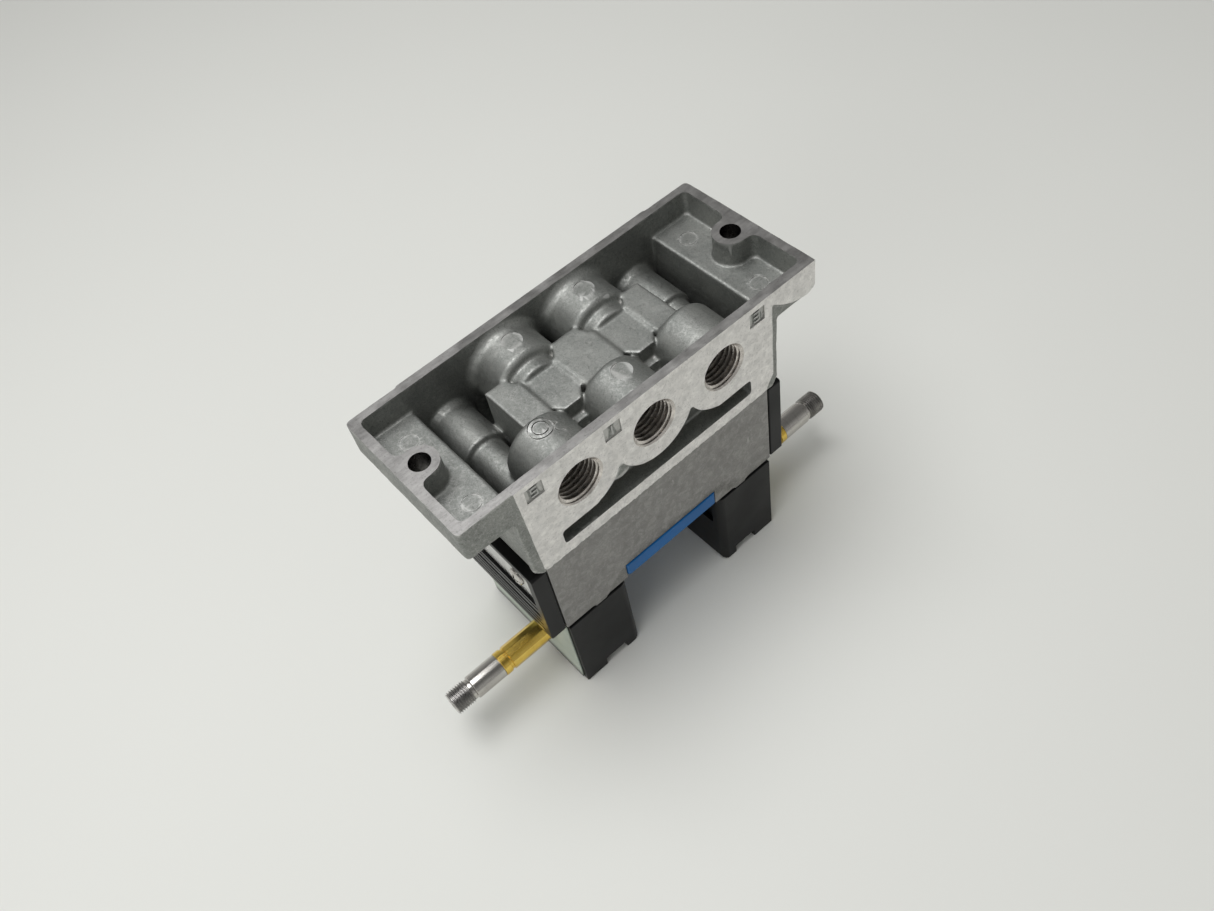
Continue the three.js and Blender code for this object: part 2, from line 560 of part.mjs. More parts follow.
function makeArmature(name, side) {
  const middle = [TUBE_Y, TUBE_Z];
  const seat = cut(
    turned([[SEAT_START, 0], [SEAT_START, 3], [28.4, 3], [28.4, 1.4], [SEAT_END, 1], [SEAT_END, 0]],
      middle, 20),
    rod('x', 0.6, [20, 30], middle, 12));
  place(`pilot_seat_${name}`, seat, 'brass', side);

  const tube = turned([
    [TUBE_ROOT, TUBE_BORE], [TUBE_ROOT, TUBE_RADIUS], [52.6, TUBE_RADIUS], [52.6, 3.4], [53.4, 3.4],
    [53.4, TUBE_RADIUS], [TUBE_END, TUBE_RADIUS], [TUBE_END, TUBE_BORE], [TUBE_ROOT, TUBE_BORE],
  ], middle);
  place(`guide_tube_${name}`, tube, 'brass', side);

  const core = turned([
    [CORE_FACE, 0], [CORE_FACE, TUBE_BORE - 0.05], [TUBE_END + SHIM, TUBE_BORE - 0.05],
    [TUBE_END + SHIM, CORE_RADIUS], [THREAD_START - 0.8, CORE_RADIUS], [THREAD_START - 0.4, 3.2],
    [THREAD_START, 3.2], [THREAD_START + 0.3, CORE_RADIUS], [TIP - 0.5, CORE_RADIUS],
    [TIP, CORE_RADIUS - 0.5], [TIP, 1.5], [TIP - 2, 1.5], [TIP - 2, 0],
  ], middle);
  place(`core_stop_${name}`, core, 'steel', side);

  const plunger = turned([
    [PLUNGER_START, 2], [PLUNGER_START, PLUNGER_RADIUS],
    [CORE_FACE - PLUNGER_STROKE - 0.1, PLUNGER_RADIUS], [CORE_FACE - PLUNGER_STROKE - 0.1, 1.8],
    [41, 1.8], [41, 0], [31.6, 0], [31.6, 2], [PLUNGER_START, 2],
  ], middle);
  place(`plunger_${name}`, plunger, 'steel', side);

  const disc = rod('x', 1.9, [SEAT_END + 0.05, 31.5], middle, FINE);
  place(`plunger_seal_${name}`, disc, 'rubber', side);

  const spring = coil(1.35, 0.5, 8.2, 7).translate(41.4, TUBE_Y, TUBE_Z);
  place(`plunger_spring_${name}`, solid(spring), 'steel', side);
}

function makeOverride(name, side) {
  const at = [OVERRIDE_X, OVERRIDE_Y];
  const button = join(
    rod('z', OVERRIDE_RADIUS, [OVERRIDE_BOTTOM, OVERRIDE_SHOULDER], at),
    rod('z', 1.2, [OVERRIDE_SHOULDER - 1, 16.6], at, FINE));
  const sealGroove = cut(rod('z', 3, [6, 7.6], at), rod('z', 1.7, [5, 8], at, FINE));
  const slot = box([OVERRIDE_X - 3, OVERRIDE_X + 3], [OVERRIDE_Y - 0.4, OVERRIDE_Y + 0.4],
    [0, OVERRIDE_BOTTOM + 0.7]);
  place(`override_button_${name}`, cut(button, sealGroove, slot), 'brass', side);

  const seal = new THREE.TorusGeometry(2.15, 0.4, 6, 14).translate(OVERRIDE_X, OVERRIDE_Y, 6.8);
  place(`override_seal_${name}`, solid(seal), 'rubber', side);

  const spring = coil(1.85, 0.5, 5.6, 5).rotateY(-Math.PI / 2);
  spring.translate(OVERRIDE_X, OVERRIDE_Y, OVERRIDE_SHOULDER + 0.4);
  place(`override_spring_${name}`, solid(spring), 'steel', side);
}

// ---------------------------------------------------------------- assembly

makeSubBase();
makeBaseGasket();
makeValveBody();
makeBlueCover();
makeBodyScrews();
makeSpool();
makePistons();
for (const [name, side] of SIDES) {
  makeEndCap(name, side);
  makePilotHead(name, side);
  makeArmature(name, side);
  makeOverride(name, side);
}

export default valve;
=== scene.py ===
import json
import math

import bmesh
import bpy
from mathutils import Matrix, Vector, noise


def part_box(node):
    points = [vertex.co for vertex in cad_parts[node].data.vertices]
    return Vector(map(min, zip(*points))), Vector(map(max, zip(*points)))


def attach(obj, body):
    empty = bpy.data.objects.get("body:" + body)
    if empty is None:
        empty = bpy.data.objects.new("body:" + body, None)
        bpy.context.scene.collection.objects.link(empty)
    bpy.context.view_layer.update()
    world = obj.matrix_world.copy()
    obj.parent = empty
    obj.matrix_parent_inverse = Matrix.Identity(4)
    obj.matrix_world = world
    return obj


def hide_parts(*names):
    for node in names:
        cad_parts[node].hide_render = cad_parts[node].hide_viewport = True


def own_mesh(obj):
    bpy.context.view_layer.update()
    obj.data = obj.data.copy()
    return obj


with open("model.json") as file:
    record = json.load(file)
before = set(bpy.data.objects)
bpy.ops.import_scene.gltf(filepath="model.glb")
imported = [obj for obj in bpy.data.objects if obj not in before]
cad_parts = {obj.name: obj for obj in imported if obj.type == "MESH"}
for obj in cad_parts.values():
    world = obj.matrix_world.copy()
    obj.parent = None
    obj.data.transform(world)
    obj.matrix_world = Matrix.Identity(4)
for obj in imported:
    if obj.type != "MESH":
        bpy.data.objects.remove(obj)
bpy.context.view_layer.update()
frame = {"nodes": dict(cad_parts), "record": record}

# Shapes are built in millimetres, in the frame's axes, and scaled to metres when they are finished.
MM = 0.001
AXIS = {"x": 0, "y": 1, "z": 2}
SIDES = (("left", -1), ("right", 1))

# --- places and sizes, from the frame


def corners_of(x, y):
    return [(i * x, j * y) for i in (-1, 1) for j in (-1, 1)]


def span(node, axis):
    """A CAD node's extent along one axis, in millimetres."""
    low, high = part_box(node)
    return low[AXIS[axis]] / MM, high[AXIS[axis]] / MM


BASE_X = span("sub_base", "x")[1]
BASE_Y = span("sub_base", "y")[1]
JOINT_FACE, RIM = span("sub_base", "z")
BODY_X = span("valve_body", "x")[1]
BODY_Y = span("valve_body", "y")[1]
BODY_TOP = span("valve_body", "z")[1]
HEAD_INNER, HEAD_OUTER = span("pilot_head_right", "x")
HEAD_Y = span("pilot_head_right", "y")[1]
HEAD_TOP = span("pilot_head_right", "z")[1]
CAP_START, CAP_END = span("end_cap_right", "x")
CAP_BOTTOM, CAP_TOP = span("end_cap_right", "z")
TUBE = [sum(span("guide_tube_right", axis)) / 2 for axis in "yz"]  # its axis, in Y and Z
TUBE_ROOT, TUBE_END = span("guide_tube_right", "x")
CORE_FACE, TIP = span("core_stop_right", "x")

# Sub-base casting
FLANGE = 10.2
BOX_X = 42.0
CAST_BACK = 0.35  # how far the cast faces lie behind the machined ones
WALL = 2.6
TRAY = 7.4
FLOOR = 3.6
CAVITY_X = 39.6
EAR_X = 49.0
EAR_RADIUS = 4.8
HOLE_RADIUS = 2.75
FRONT_PORTS = (-23.1, 0.0, 23.1)
BACK_PORTS = (-11.7, 11.7)
PORT_Z = 84.7
PORT_DEPTH = 12.5
DUCT_TOP = 91.5
PILOT_X = 31.3
PILOT_Z = 77.0
PILOT_THREAD = (0.907, 4.28, 4.86)  # G1/8: its pitch and its two radii
THREAD_PITCH = 1.337  # G1/4, as are the two radii
THREAD_MINOR = 5.72
THREAD_MAJOR = 6.58
CAST_SWAY = 0.07
WINDOW_PAD = (-11.1, 76.3)
PAD_RADIUS = 3.5

# Valve body, spool, caps and pilot heads
SPOOL_Z = 47.0
SPOOL_REST = -2.0
DUCTS = ((-20.8, 2, 2.8), (-11.7, -1, 3.2), (0, 3, 3.4), (11.7, -1, 3.2), (20.8, 2, 2.8))
PILOT_DUCT = (16.5, 1.5)  # its place in Y and its radius
BODY_SCREW = (11.5, 14.0)
SEALS_X = (-25.5, -18.3, -1.5, 1.5, 18.3, 25.5)
CAP_SCREWS = [(-13.0, 54.0), (13.0, 54.0)]
HEAD_SCREW = (33.5, 17.5)
HEAD_ROUND = 2.4
SHAPED_DEPTHS = (0.5, 0.9, 1.4, 1.9, HEAD_ROUND)  # where a shaped prism has more rings
OVERRIDE = (26.2, 2.0)

BODY_OF = {node: body for body, nodes in frame["record"]["behaviour"]["bodies"].items() for node in nodes}
SLOT_OF = {entry["node"]: entry["material_slot"] for entry in frame["record"]["subparts"]}

# --- solids


def added(name, data):
    """A new object in the scene."""
    obj = bpy.data.objects.new(name, data)
    bpy.context.scene.collection.objects.link(obj)
    return obj


def solid(vertices, faces):
    """A closed mesh in millimetres, its faces pointing out."""
    mesh = bpy.data.meshes.new("solid")
    mesh.from_pydata(vertices, [], faces)
    made = bmesh.new()
    made.from_mesh(mesh)
    bmesh.ops.remove_doubles(made, verts=made.verts, dist=1e-4)
    bmesh.ops.recalc_face_normals(made, faces=made.faces)
    made.to_mesh(mesh)
    made.free()
    return added("solid", mesh)


def at(axis, along, a, b):
    """A point from its place along an axis and its other two coordinates, in X, Y, Z order."""
    return {"x": (along, a, b), "y": (a, along, b), "z": (a, b, along)}[axis]


def loft(rings, closed=False):
    """A solid through rings of equally many points, capped at both ends or closed on itself."""
    count = len(rings[0])
    vertices = [point for ring in rings for point in ring]
    total = len(vertices)
    faces = [] if closed else [list(range(count)), [total - count + i for i in range(count)]]
    for row in range(len(rings) if closed else len(rings) - 1):
        for i in range(count):
            a, b = row * count + i, row * count + (i + 1) % count
            faces.append((a, b, (b + count) % total, (a + count) % total))
    return solid(vertices, faces)


def circle(radius, middle=(0.0, 0.0), count=48):
    angles = [2 * math.pi / count * i for i in range(count)]
    return [(middle[0] + radius * math.cos(angle), middle[1] + radius * math.sin(angle)) for angle in angles]


def prism(axis, outline, ends):
    return loft([[at(axis, end, a, b) for a, b in outline] for end in ends])


def rod(axis, radius, ends, middle, count=64):
    return prism(axis, circle(radius, middle, count), ends)


def block(x, y, z):
    return prism("z", [(x[0], y[0]), (x[1], y[0]), (x[1], y[1]), (x[0], y[1])], z)


def rounded(a_ends, b_ends, radius):
    """A rectangle's outline with round corners."""
    outline, steps = [], 8
    for i, j, quarter in ((1, 1, 0), (0, 1, 1), (0, 0, 2), (1, 0, 3)):
        middle = (a_ends[i] + (radius, -radius)[i], b_ends[j] + (radius, -radius)[j])
        for step in range(steps + 1):
            angle = (quarter + step / steps) * math.pi / 2
            outline.append((middle[0] + radius * math.cos(angle), middle[1] + radius * math.sin(angle)))
    return outline


def filleted(corners, steps=5):
    """An outline from corners of (a, b, radius), each rounded to its radius."""
    outline = []
    for i, (a, b, radius) in enumerate(corners):
        here = Vector((a, b))
        if not radius:
            outline.append((a, b))
            continue
        before = (Vector(corners[i - 1][:2]) - here).normalized()
        after = (Vector(corners[(i + 1) % len(corners)][:2]) - here).normalized()
        half = before.angle(after) / 2
        middle = here + (before + after).normalized() * radius / math.sin(half)
        first = here + before * radius / math.tan(half) - middle
        last = here + after * radius / math.tan(half) - middle
        for step in range(steps + 1):
            spoke = first.slerp(last, step / steps).normalized() * radius
            outline.append(tuple(middle + spoke))
    return outline


def inset(outline, amount):
    """An outline moved inwards, with mitred corners."""
    pairs = list(zip(outline, outline[1:] + outline[:1]))
    turn = 1 if sum(a[0] * b[1] - b[0] * a[1] for a, b in pairs) > 0 else -1
    sides = [(Vector(b) - Vector(a)).normalized() for a, b in pairs]
    normals = [Vector((-side.y, side.x)) * turn for side in sides]
    moved = []
    for i, point in enumerate(outline):
        before, after = normals[i - 1], normals[i]
        shift = (before + after) * amount / (1 + before.dot(after))
        moved.append((point[0] + shift.x, point[1] + shift.y))
    return moved


def moulded(axis, outline, ends, edge, shaped=None):
    """A prism with rounded edges at both ends. A shape function may adjust each ring by its depth."""
    rings, steps = [], 3
    depths = [edge * (1 - math.cos(step / steps * math.pi / 2)) for step in range(steps + 1)]
    depths += [depth for depth in SHAPED_DEPTHS if shaped and depth > edge]
    for end, inward in ((ends[0], 1), (ends[1], -1)):
        side = []
        for depth in depths:
            left = max(0.0, edge - depth)
            ring = inset(outline, edge - math.sqrt(max(0.0, edge * edge - left * left)))
            ring = shaped(ring, depth) if shaped else ring
            side.append([at(axis, end + inward * depth, a, b) for a, b in ring])
        rings += side if inward > 0 else side[::-1]
    return loft(rings)


def turned(axis, profile, middle, count=64, closed=False):
    """A turned solid from a profile of (along, radius). A closed profile makes a ring."""
    rings = []
    for along, radius in profile:
        rings.append([at(axis, along, a, b) for a, b in circle(radius, middle, count)])
    return loft(rings, closed)


def helical(axis, pitch, minor, major, ends, middle, count=48, hand=1):
    """A closed threaded rod. Its rows of points follow the thread, with flats at crest and root."""
    profile = ((0.0, minor), (0.12, minor), (0.44, major), (0.56, major), (0.88, minor))
    rows_per_turn = len(profile)
    turns = math.ceil((ends[1] - ends[0]) / pitch) + 2
    rows = turns * rows_per_turn
    vertices = []
    for row in range(rows):
        share, radius = profile[row % rows_per_turn]
        start = ends[0] + (row // rows_per_turn - 1 + share) * pitch
        for i in range(count):
            angle = hand * 2 * math.pi * i / count
            along = start + pitch * i / count
            a, b = middle[0] + radius * math.cos(angle), middle[1] + radius * math.sin(angle)
            vertices.append(at(axis, along, a, b))
    low, high = len(vertices), len(vertices) + 1
    vertices.append(at(axis, ends[0] - pitch, *middle))
    vertices.append(at(axis, ends[0] + turns * pitch, *middle))
    faces = []
    for row in range(rows - 1):
        for i in range(count - 1):
            a = row * count + i
            faces.append((a, a + 1, a + 1 + count, a + count))
        if row + 1 + rows_per_turn < rows:
            a = row * count + count - 1
            b = (row + rows_per_turn) * count
            faces.append((a, b, b + count, a + count))
    first = list(range(count)) + [r * count for r in range(rows_per_turn, -1, -1)]
    last_row = (rows - 1) * count
    last = [last_row + i for i in range(count)]
    last += [(rows - 1 - r) * count + count - 1 for r in range(1, rows_per_turn + 1)]
    last.append(last_row)
    for loop, pole in ((first, low), (last, high)):
        faces.extend((a, b, pole) for a, b in zip(loop, loop[1:]) if a != b)
    return solid(vertices, faces)


def coil(axis, radius, wire, ends, middle, turns):
    """A compression spring with its end turns closed up."""
    sections, around, closing = 24, 8, 0.55
    rings = []
    total = int(turns * sections)
    for step in range(total + 1):
        share = step / total
        eased = share - math.sin(2 * math.pi * share) / (2 * math.pi) * closing
        along = ends[0] + wire / 2 + eased * (ends[1] - ends[0] - wire)
        angle = 2 * math.pi * turns * share
        points = []
        for i in range(around):
            turn = 2 * math.pi * i / around
            out = radius + wire / 2 * math.cos(turn)
            points.append(at(axis, along + wire / 2 * math.sin(turn), middle[0] + out * math.cos(angle),
                             middle[1] + out * math.sin(angle)))
        rings.append(points)
    return loft(rings)


def baked(obj):
    """The object with its modifiers applied."""
    mesh = bpy.data.meshes.new_from_object(obj.evaluated_get(bpy.context.evaluated_depsgraph_get()))
    old = obj.data
    obj.modifiers.clear()
    obj.data = mesh
    bpy.data.meshes.remove(old)
    return obj


def combine(target, others, operation):
    """Joins, cuts or intersects the target with each of the others, which are used up."""
    for other in others:
        step = target.modifiers.new("combine", "BOOLEAN")
        step.operation, step.solver, step.object = operation, "MANIFOLD", other
    baked(target)
    for other in others:
        bpy.data.objects.remove(other)
    return target


def join(first, *others):
    return combine(first, others, "UNION")


def cut(first, *others):
    return combine(first, others, "DIFFERENCE")


def common(first, *others):
    return combine(first, others, "INTERSECT")


def cast(obj, voxel, iterations, triangles):
    """Rounds every edge and corner of a solid, as a casting's are."""
    remesh = obj.modifiers.new("remesh", "REMESH")
    remesh.mode, remesh.voxel_size, remesh.adaptivity = "VOXEL", voxel, 0.0
    smooth = obj.modifiers.new("smooth", "SMOOTH")
    smooth.factor, smooth.iterations = 0.5, iterations
    baked(obj)
    broad, fine, ragged = 5, 1.6, 0.8
    moved = []
    for vertex in obj.data.vertices:
        sway = noise.noise(vertex.co / broad) + 0.5 * noise.noise(vertex.co / fine)
        at_lower_edge = vertex.co.z < JOINT_FACE + 3.5 and abs(vertex.co.y) > BODY_Y - 0.5
        if at_lower_edge:
            sway += 3 * noise.noise(vertex.co / ragged)
        moved.extend(vertex.co + vertex.normal * CAST_SWAY * sway)
    obj.data.vertices.foreach_set("co", moved)
    count = sum(len(face.vertices) - 2 for face in obj.data.polygons)
    if count > triangles:
        thin = obj.modifiers.new("thin", "DECIMATE")
        thin.ratio = triangles / count
        baked(obj)
    return obj


def shaded(obj, angle):
    """Smooth shading up to an angle between faces, and never across the edge of a finish."""
    mesh = obj.data
    for face in mesh.polygons:
        face.use_smooth = True
    mesh.set_sharp_from_angle(angle=math.radians(angle))
    finishes = {}
    for face in mesh.polygons:
        for edge in face.edge_keys:
            finishes.setdefault(edge, set()).add(face.material_index)
    for edge in mesh.edges:
        if len(finishes.get(edge.key, ())) > 1:
            edge.use_edge_sharp = True


def dressed(obj, materials):
    """Gives a mesh its materials, in the order of its faces' material numbers."""
    obj.data.materials.clear()
    for material in materials:
        obj.data.materials.append(material)


def stand_in(obj, node, side=1, angle=35, painted=False, ending="_piece"):
    """Finishes a piece that stands for one CAD node: its shading, size, body and slot.

    Pieces are made for the right-hand side. A painted one has its materials already.
    """
    if side < 0:
        obj.data.transform(Matrix.Scale(-1, 4, (1, 0, 0)))
        obj.data.flip_normals()
    shaded(obj, angle)
    weighted = obj.modifiers.new("weighted", "WEIGHTED_NORMAL")
    weighted.keep_sharp = True
    baked(obj)
    obj.name = node + ending
    obj.data.name = obj.name
    obj.data.transform(Matrix.Scale(MM, 4))
    if not painted:
        dressed(obj, [BY_SLOT[SLOT_OF[node]]])
    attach(obj, BODY_OF[node])
    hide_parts(node)
    return obj


def follow(spring):
    """Gives a spring its own copy of its mesh."""
    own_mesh(spring)


# --- materials


class Nodes:
    """A short way to write a node tree, a material's or the world's."""

    def __init__(self, name, kind=bpy.data.materials, shader="Principled BSDF", place="Object"):
        self.data = kind.new(name)
        self.data.use_nodes = True
        self.tree = self.data.node_tree
        self.shader = self.tree.nodes[shader]
        self.place = self.node("ShaderNodeTexCoord").outputs[place]

    def node(self, kind, **inputs):
        made = self.tree.nodes.new(kind)
        for name, value in inputs.items():
            self.feed(made.inputs[name.replace("_", " ")], value)
        return made

    def feed(self, socket, value):
        if isinstance(value, bpy.types.NodeSocket):
            self.tree.links.new(value, socket)
        else:
            socket.default_value = value

    def set(self, **inputs):
        for name, value in inputs.items():
            self.feed(self.shader.inputs[name.replace("_", " ")], value)

    def stretched(self, scale, turn=(0, 0, 0)):
        mapping = self.node("ShaderNodeMapping", Vector=self.place, Scale=scale, Rotation=turn)
        return mapping.outputs["Vector"]

    def noise(self, scale, detail=3.0, roughness=0.5, vector=None, distortion=0.0):
        made = self.node("ShaderNodeTexNoise", Vector=vector or self.place, Scale=scale, Detail=detail,
                         Roughness=roughness, Distortion=distortion)
        return made.outputs["Fac"]

    def cells(self, scale):
        return self.node("ShaderNodeTexVoronoi", Vector=self.place, Scale=scale).outputs["Distance"]

    def height(self):
        return self.node("ShaderNodeSeparateXYZ", Vector=self.place).outputs["Z"]

    def ramp(self, value, low, high, start=0.0, end=1.0):
        """A value's way from low to high, smoothly turned into one from start to end."""
        made = self.node("ShaderNodeMapRange", Value=value, From_Min=low, From_Max=high, To_Min=start,
                         To_Max=end)
        made.interpolation_type = "SMOOTHSTEP"
        return made.outputs["Result"]

    def math(self, operation, a, b):
        made = self.node("ShaderNodeMath")
        made.operation = operation
        self.feed(made.inputs[0], a)
        self.feed(made.inputs[1], b)
        return made.outputs[0]

    def mix(self, share, a, b):
        made = self.node("ShaderNodeMix")
        made.data_type = "RGBA"
        self.feed(made.inputs["Factor"], share)
        self.feed(made.inputs[6], a)
        self.feed(made.inputs[7], b)
        return made.outputs[2]

    def over(self, base, color, share, value, low, high):
        """The base with a colour over it where a value lies past two limits, at most to a share."""
        return self.mix(self.ramp(value, low, high, 0.0, share), base, color)

    def bump(self, height, strength, distance):
        made = self.node("ShaderNodeBump", Height=height, Strength=strength, Distance=distance)
        return made.outputs["Normal"]

    def painted_light_by_pointiness(self, base, color, share, limits):
        """The base with a colour over its edges or its hollows, as painted highlight or painted shade."""
        pointed = self.node("ShaderNodeNewGeometry").outputs["Pointiness"]
        return self.over(base, color, share, pointed, *limits)


# Pointiness limits for painted light: EDGES for highlights on convex edges, HOLLOWS for the casting's lit
# fillets and the threads' shaded roots.
EDGES = (0.515, 0.56)
HOLLOWS = (0.48, 0.44)


def grey(value, warm=0.0, green=0.0):
    """A metal's or plastic's grey with a slight tint."""
    return (value * (1 + warm), value * (1 + green), value * (1 - warm), 1.0)


def cast_metal():
    """Die-cast aluminium: mottled and stained skin, with painted highlights on its edges and in its hollows.
    """
    n = Nodes("cast_aluminium")
    cloud = n.noise(90, 5, 0.6)
    mottle = n.noise(1100, 4, 0.7, distortion=0.5)
    grain = n.noise(3600, 3, 0.65)
    base = n.mix(n.ramp(cloud, 0.3, 0.7), grey(0.25, 0.005, 0.045), grey(0.33, 0.015, 0.035))
    base = n.over(base, grey(0.40, 0.02, 0.02), 0.55, mottle, 0.48, 0.66)
    base = n.over(base, grey(0.12, 0.02, 0.03), 0.6, grain, 0.54, 0.68)
    base = n.over(base, grey(0.5, 0.02, 0.02), 0.5, grain, 0.42, 0.3)
    # Painted highlight: lighter colour in the concave fillets and on the convex edges, found by pointiness.
    base = n.painted_light_by_pointiness(base, grey(0.62, 0.02, 0.01), 0.75, HOLLOWS)
    base = n.painted_light_by_pointiness(base, grey(0.72, 0.01, 0.01), 0.55, EDGES)
    stains = n.noise(420, 4, 0.75, distortion=1.0)
    base = n.over(base, grey(0.13, 0.02, 0.02), 0.45, stains, 0.58, 0.68)
    rough = n.ramp(mottle, 0.3, 0.7, 0.66, 0.48)
    height = n.math("ADD", n.math("MULTIPLY", mottle, 0.8), n.math("MULTIPLY", grain, 0.6))
    n.set(Base_Color=base, Metallic=1.0, Roughness=rough, Normal=n.bump(height, 0.6, 0.00009))
    return n.data


def machined_metal(name, lines_scale, line_depth, value, warm):
    """A milled face of the casting: brighter, with fine cutter lines, pits and nicks."""
    n = Nodes(name)
    lines = n.noise(1.0, 3, 0.6, vector=n.stretched(lines_scale))
    cloud = n.noise(160, 4, 0.6)
    pits = n.cells(900)
    spots = n.noise(1500, 4, 0.75)
    base = n.mix(n.ramp(cloud, 0.3, 0.7), grey(value * 0.9, warm), grey(value, warm))
    base = n.over(base, grey(value * 0.5, warm, 0.01), line_depth, lines, 0.48, 0.62)
    base = n.over(base, grey(value * 1.4, warm, 0.01), line_depth, lines, 0.44, 0.34)
    base = n.over(base, grey(value * 0.5, warm), 0.6, spots, 0.54, 0.68)
    base = n.over(base, grey(value * 0.35, warm), 0.5, pits, 0.16, 0.05)
    dents = n.noise(260, 4, 0.75, distortion=0.8)
    base = n.over(base, grey(value * 0.62, warm), 0.25, dents, 0.6, 0.7)
    rough = n.ramp(cloud, 0.3, 0.7, 0.34, 0.5)
    height = n.math("SUBTRACT", n.math("ADD", n.math("MULTIPLY", lines, 0.6), dents),
                    n.ramp(pits, 0.16, 0.05))
    n.set(Base_Color=base, Metallic=1.0, Roughness=rough, Normal=n.bump(height, 0.25, 0.00005))
    return n.data


def threaded_metal(name, value, warm):
    """Inside a thread: dull crests, and roots darkened with painted shade."""
    n = Nodes(name)
    cloud = n.noise(300, 4, 0.6)
    dirt = n.noise(1500, 3, 0.6)
    base = n.mix(n.ramp(cloud, 0.3, 0.7), grey(value * 0.6, warm), grey(value, warm))
    # Painted shade: the thread roots darkened, found by pointiness.
    base = n.painted_light_by_pointiness(base, grey(value * 0.25, warm), 0.6, HOLLOWS)
    base = n.over(base, grey(value * 0.4, warm), 0.4, dirt, 0.5, 0.7)
    n.set(Base_Color=base, Metallic=1.0, Roughness=n.ramp(dirt, 0.3, 0.7, 0.25, 0.42),
          Normal=n.bump(dirt, 0.2, 0.00004))
    return n.data


def blasted_body():
    """The valve body's blasted aluminium: warm, cloudy, with a few light scratches."""
    n = Nodes("body_metal")
    cloud = n.noise(70, 5, 0.65)
    mottle = n.noise(520, 5, 0.7, distortion=0.6)
    grain = n.noise(3000, 3, 0.6)
    base = n.mix(n.ramp(cloud, 0.3, 0.72), grey(0.175, 0.03, 0.008), grey(0.25, 0.03, 0.012))
    base = n.over(base, grey(0.33, 0.03, 0.01), 0.6, mottle, 0.46, 0.64)
    base = n.over(base, grey(0.13, 0.04, 0.01), 0.5, mottle, 0.44, 0.3)
    base = n.over(base, grey(0.12, 0.03), 0.6, grain, 0.52, 0.68)
    base = n.over(base, grey(0.36, 0.03), 0.5, grain, 0.44, 0.32)
    scratch = n.ramp(n.noise(1.0, 1, 0.4, vector=n.stretched((240, 240, 40), (0.4, 0.8, 0.5)),
                             distortion=2.0), 0.695, 0.72)
    patch = n.ramp(n.noise(60, 2), 0.56, 0.66)
    base = n.mix(n.math("MULTIPLY", scratch, patch), base, grey(0.45, 0.02))
    # Painted highlight: lighter colour on the body's edges, found by pointiness.
    base = n.painted_light_by_pointiness(base, grey(0.42, 0.02), 0.35, EDGES)
    height = n.math("ADD", n.math("MULTIPLY", mottle, 0.8), grain)
    n.set(Base_Color=base, Metallic=1.0, Roughness=n.ramp(mottle, 0.3, 0.7, 0.6, 0.46),
          Normal=n.bump(height, 0.5, 0.00008))
    return n.data


def plastic(name, color, rough, grain_scale):
    """Moulded plastic: fine grain, soft shine changes and faint scuffs."""
    n = Nodes(name)
    cloud = n.noise(60, 3, 0.5)
    grain = n.noise(grain_scale, 3, 0.6)
    light = tuple(min(1.0, c * 1.7 + 0.012) for c in color) + (1.0,)
    dark = tuple(c * 0.8 for c in color) + (1.0,)
    base = n.mix(n.ramp(cloud, 0.3, 0.7), dark, tuple(color) + (1.0,))
    scuff = n.ramp(n.noise(1.0, 3, 0.6, vector=n.stretched((1800, 200, 900), (0.3, 0.2, 0.6))), 0.66, 0.72)
    base = n.mix(n.math("MULTIPLY", scuff, 0.06), base, light)
    roughness = n.math("ADD", n.ramp(cloud, 0.3, 0.7, rough - 0.06, rough + 0.06),
                       n.math("MULTIPLY", scuff, 0.1))
    n.set(Base_Color=base, Roughness=roughness, Specular_IOR_Level=0.22,
          Normal=n.bump(grain, 0.25, 0.00004))
    return n.data


def turned_metal(name, dark, light, rough, stain=0.3, ring_scale=2200.0):
    """Turned metal: fine rings along X, slight tarnish and a few handling marks."""
    n = Nodes(name)
    rings = n.noise(1.0, 3, 0.6, vector=n.stretched((ring_scale, 40, 40)))
    tarnish = n.noise(1.0, 4, 0.6, vector=n.stretched((60, 240, 240)))
    stains = n.noise(1.0, 4, 0.7, vector=n.stretched((140, 420, 420)), distortion=0.5)
    base = n.mix(n.ramp(tarnish, 0.35, 0.7), light + (1.0,), dark + (1.0,))
    base = n.over(base, tuple(c * 0.6 for c in dark) + (1.0,), 0.2, rings, 0.5, 0.7)
    base = n.over(base, tuple(c * 0.45 for c in dark) + (1.0,), stain, stains, 0.62, 0.74)
    n.set(Base_Color=base, Metallic=1.0, Roughness=n.ramp(tarnish, 0.3, 0.7, rough, rough + 0.06),
          Normal=n.bump(rings, 0.12, 0.00002))
    return n.data


def rubber():
    n = Nodes("rubber")
    bloom = n.noise(300, 3, 0.6)
    base = n.mix(n.ramp(bloom, 0.4, 0.7), (0.011, 0.011, 0.011, 1), (0.024, 0.024, 0.023, 1))
    n.set(Base_Color=base, Roughness=n.ramp(bloom, 0.3, 0.7, 0.6, 0.8),
          Normal=n.bump(n.noise(2500, 2), 0.3, 0.00003))
    return n.data


def label():
    n = Nodes("pale_label")
    print_cloud = n.noise(120, 3, 0.5)
    base = n.mix(n.ramp(print_cloud, 0.3, 0.7), (0.38, 0.44, 0.37, 1), (0.46, 0.52, 0.45, 1))
    base = n.over(base, (0.2, 0.22, 0.19, 1), 0.4, n.noise(1600, 2, 0.7), 0.66, 0.75)
    # Painted shade: the plate turns near black towards its lower edge by the floor, with a ragged border.
    painted_shade_height = n.math("ADD", n.height(), n.math("MULTIPLY", n.noise(900, 4, 0.7), 0.0022))
    base = n.mix(n.ramp(painted_shade_height, 0.0062, 0.0018), base, (0.010, 0.011, 0.011, 1))
    n.set(Base_Color=base, Roughness=0.32, Normal=n.bump(print_cloud, 0.05, 0.00005))
    return n.data


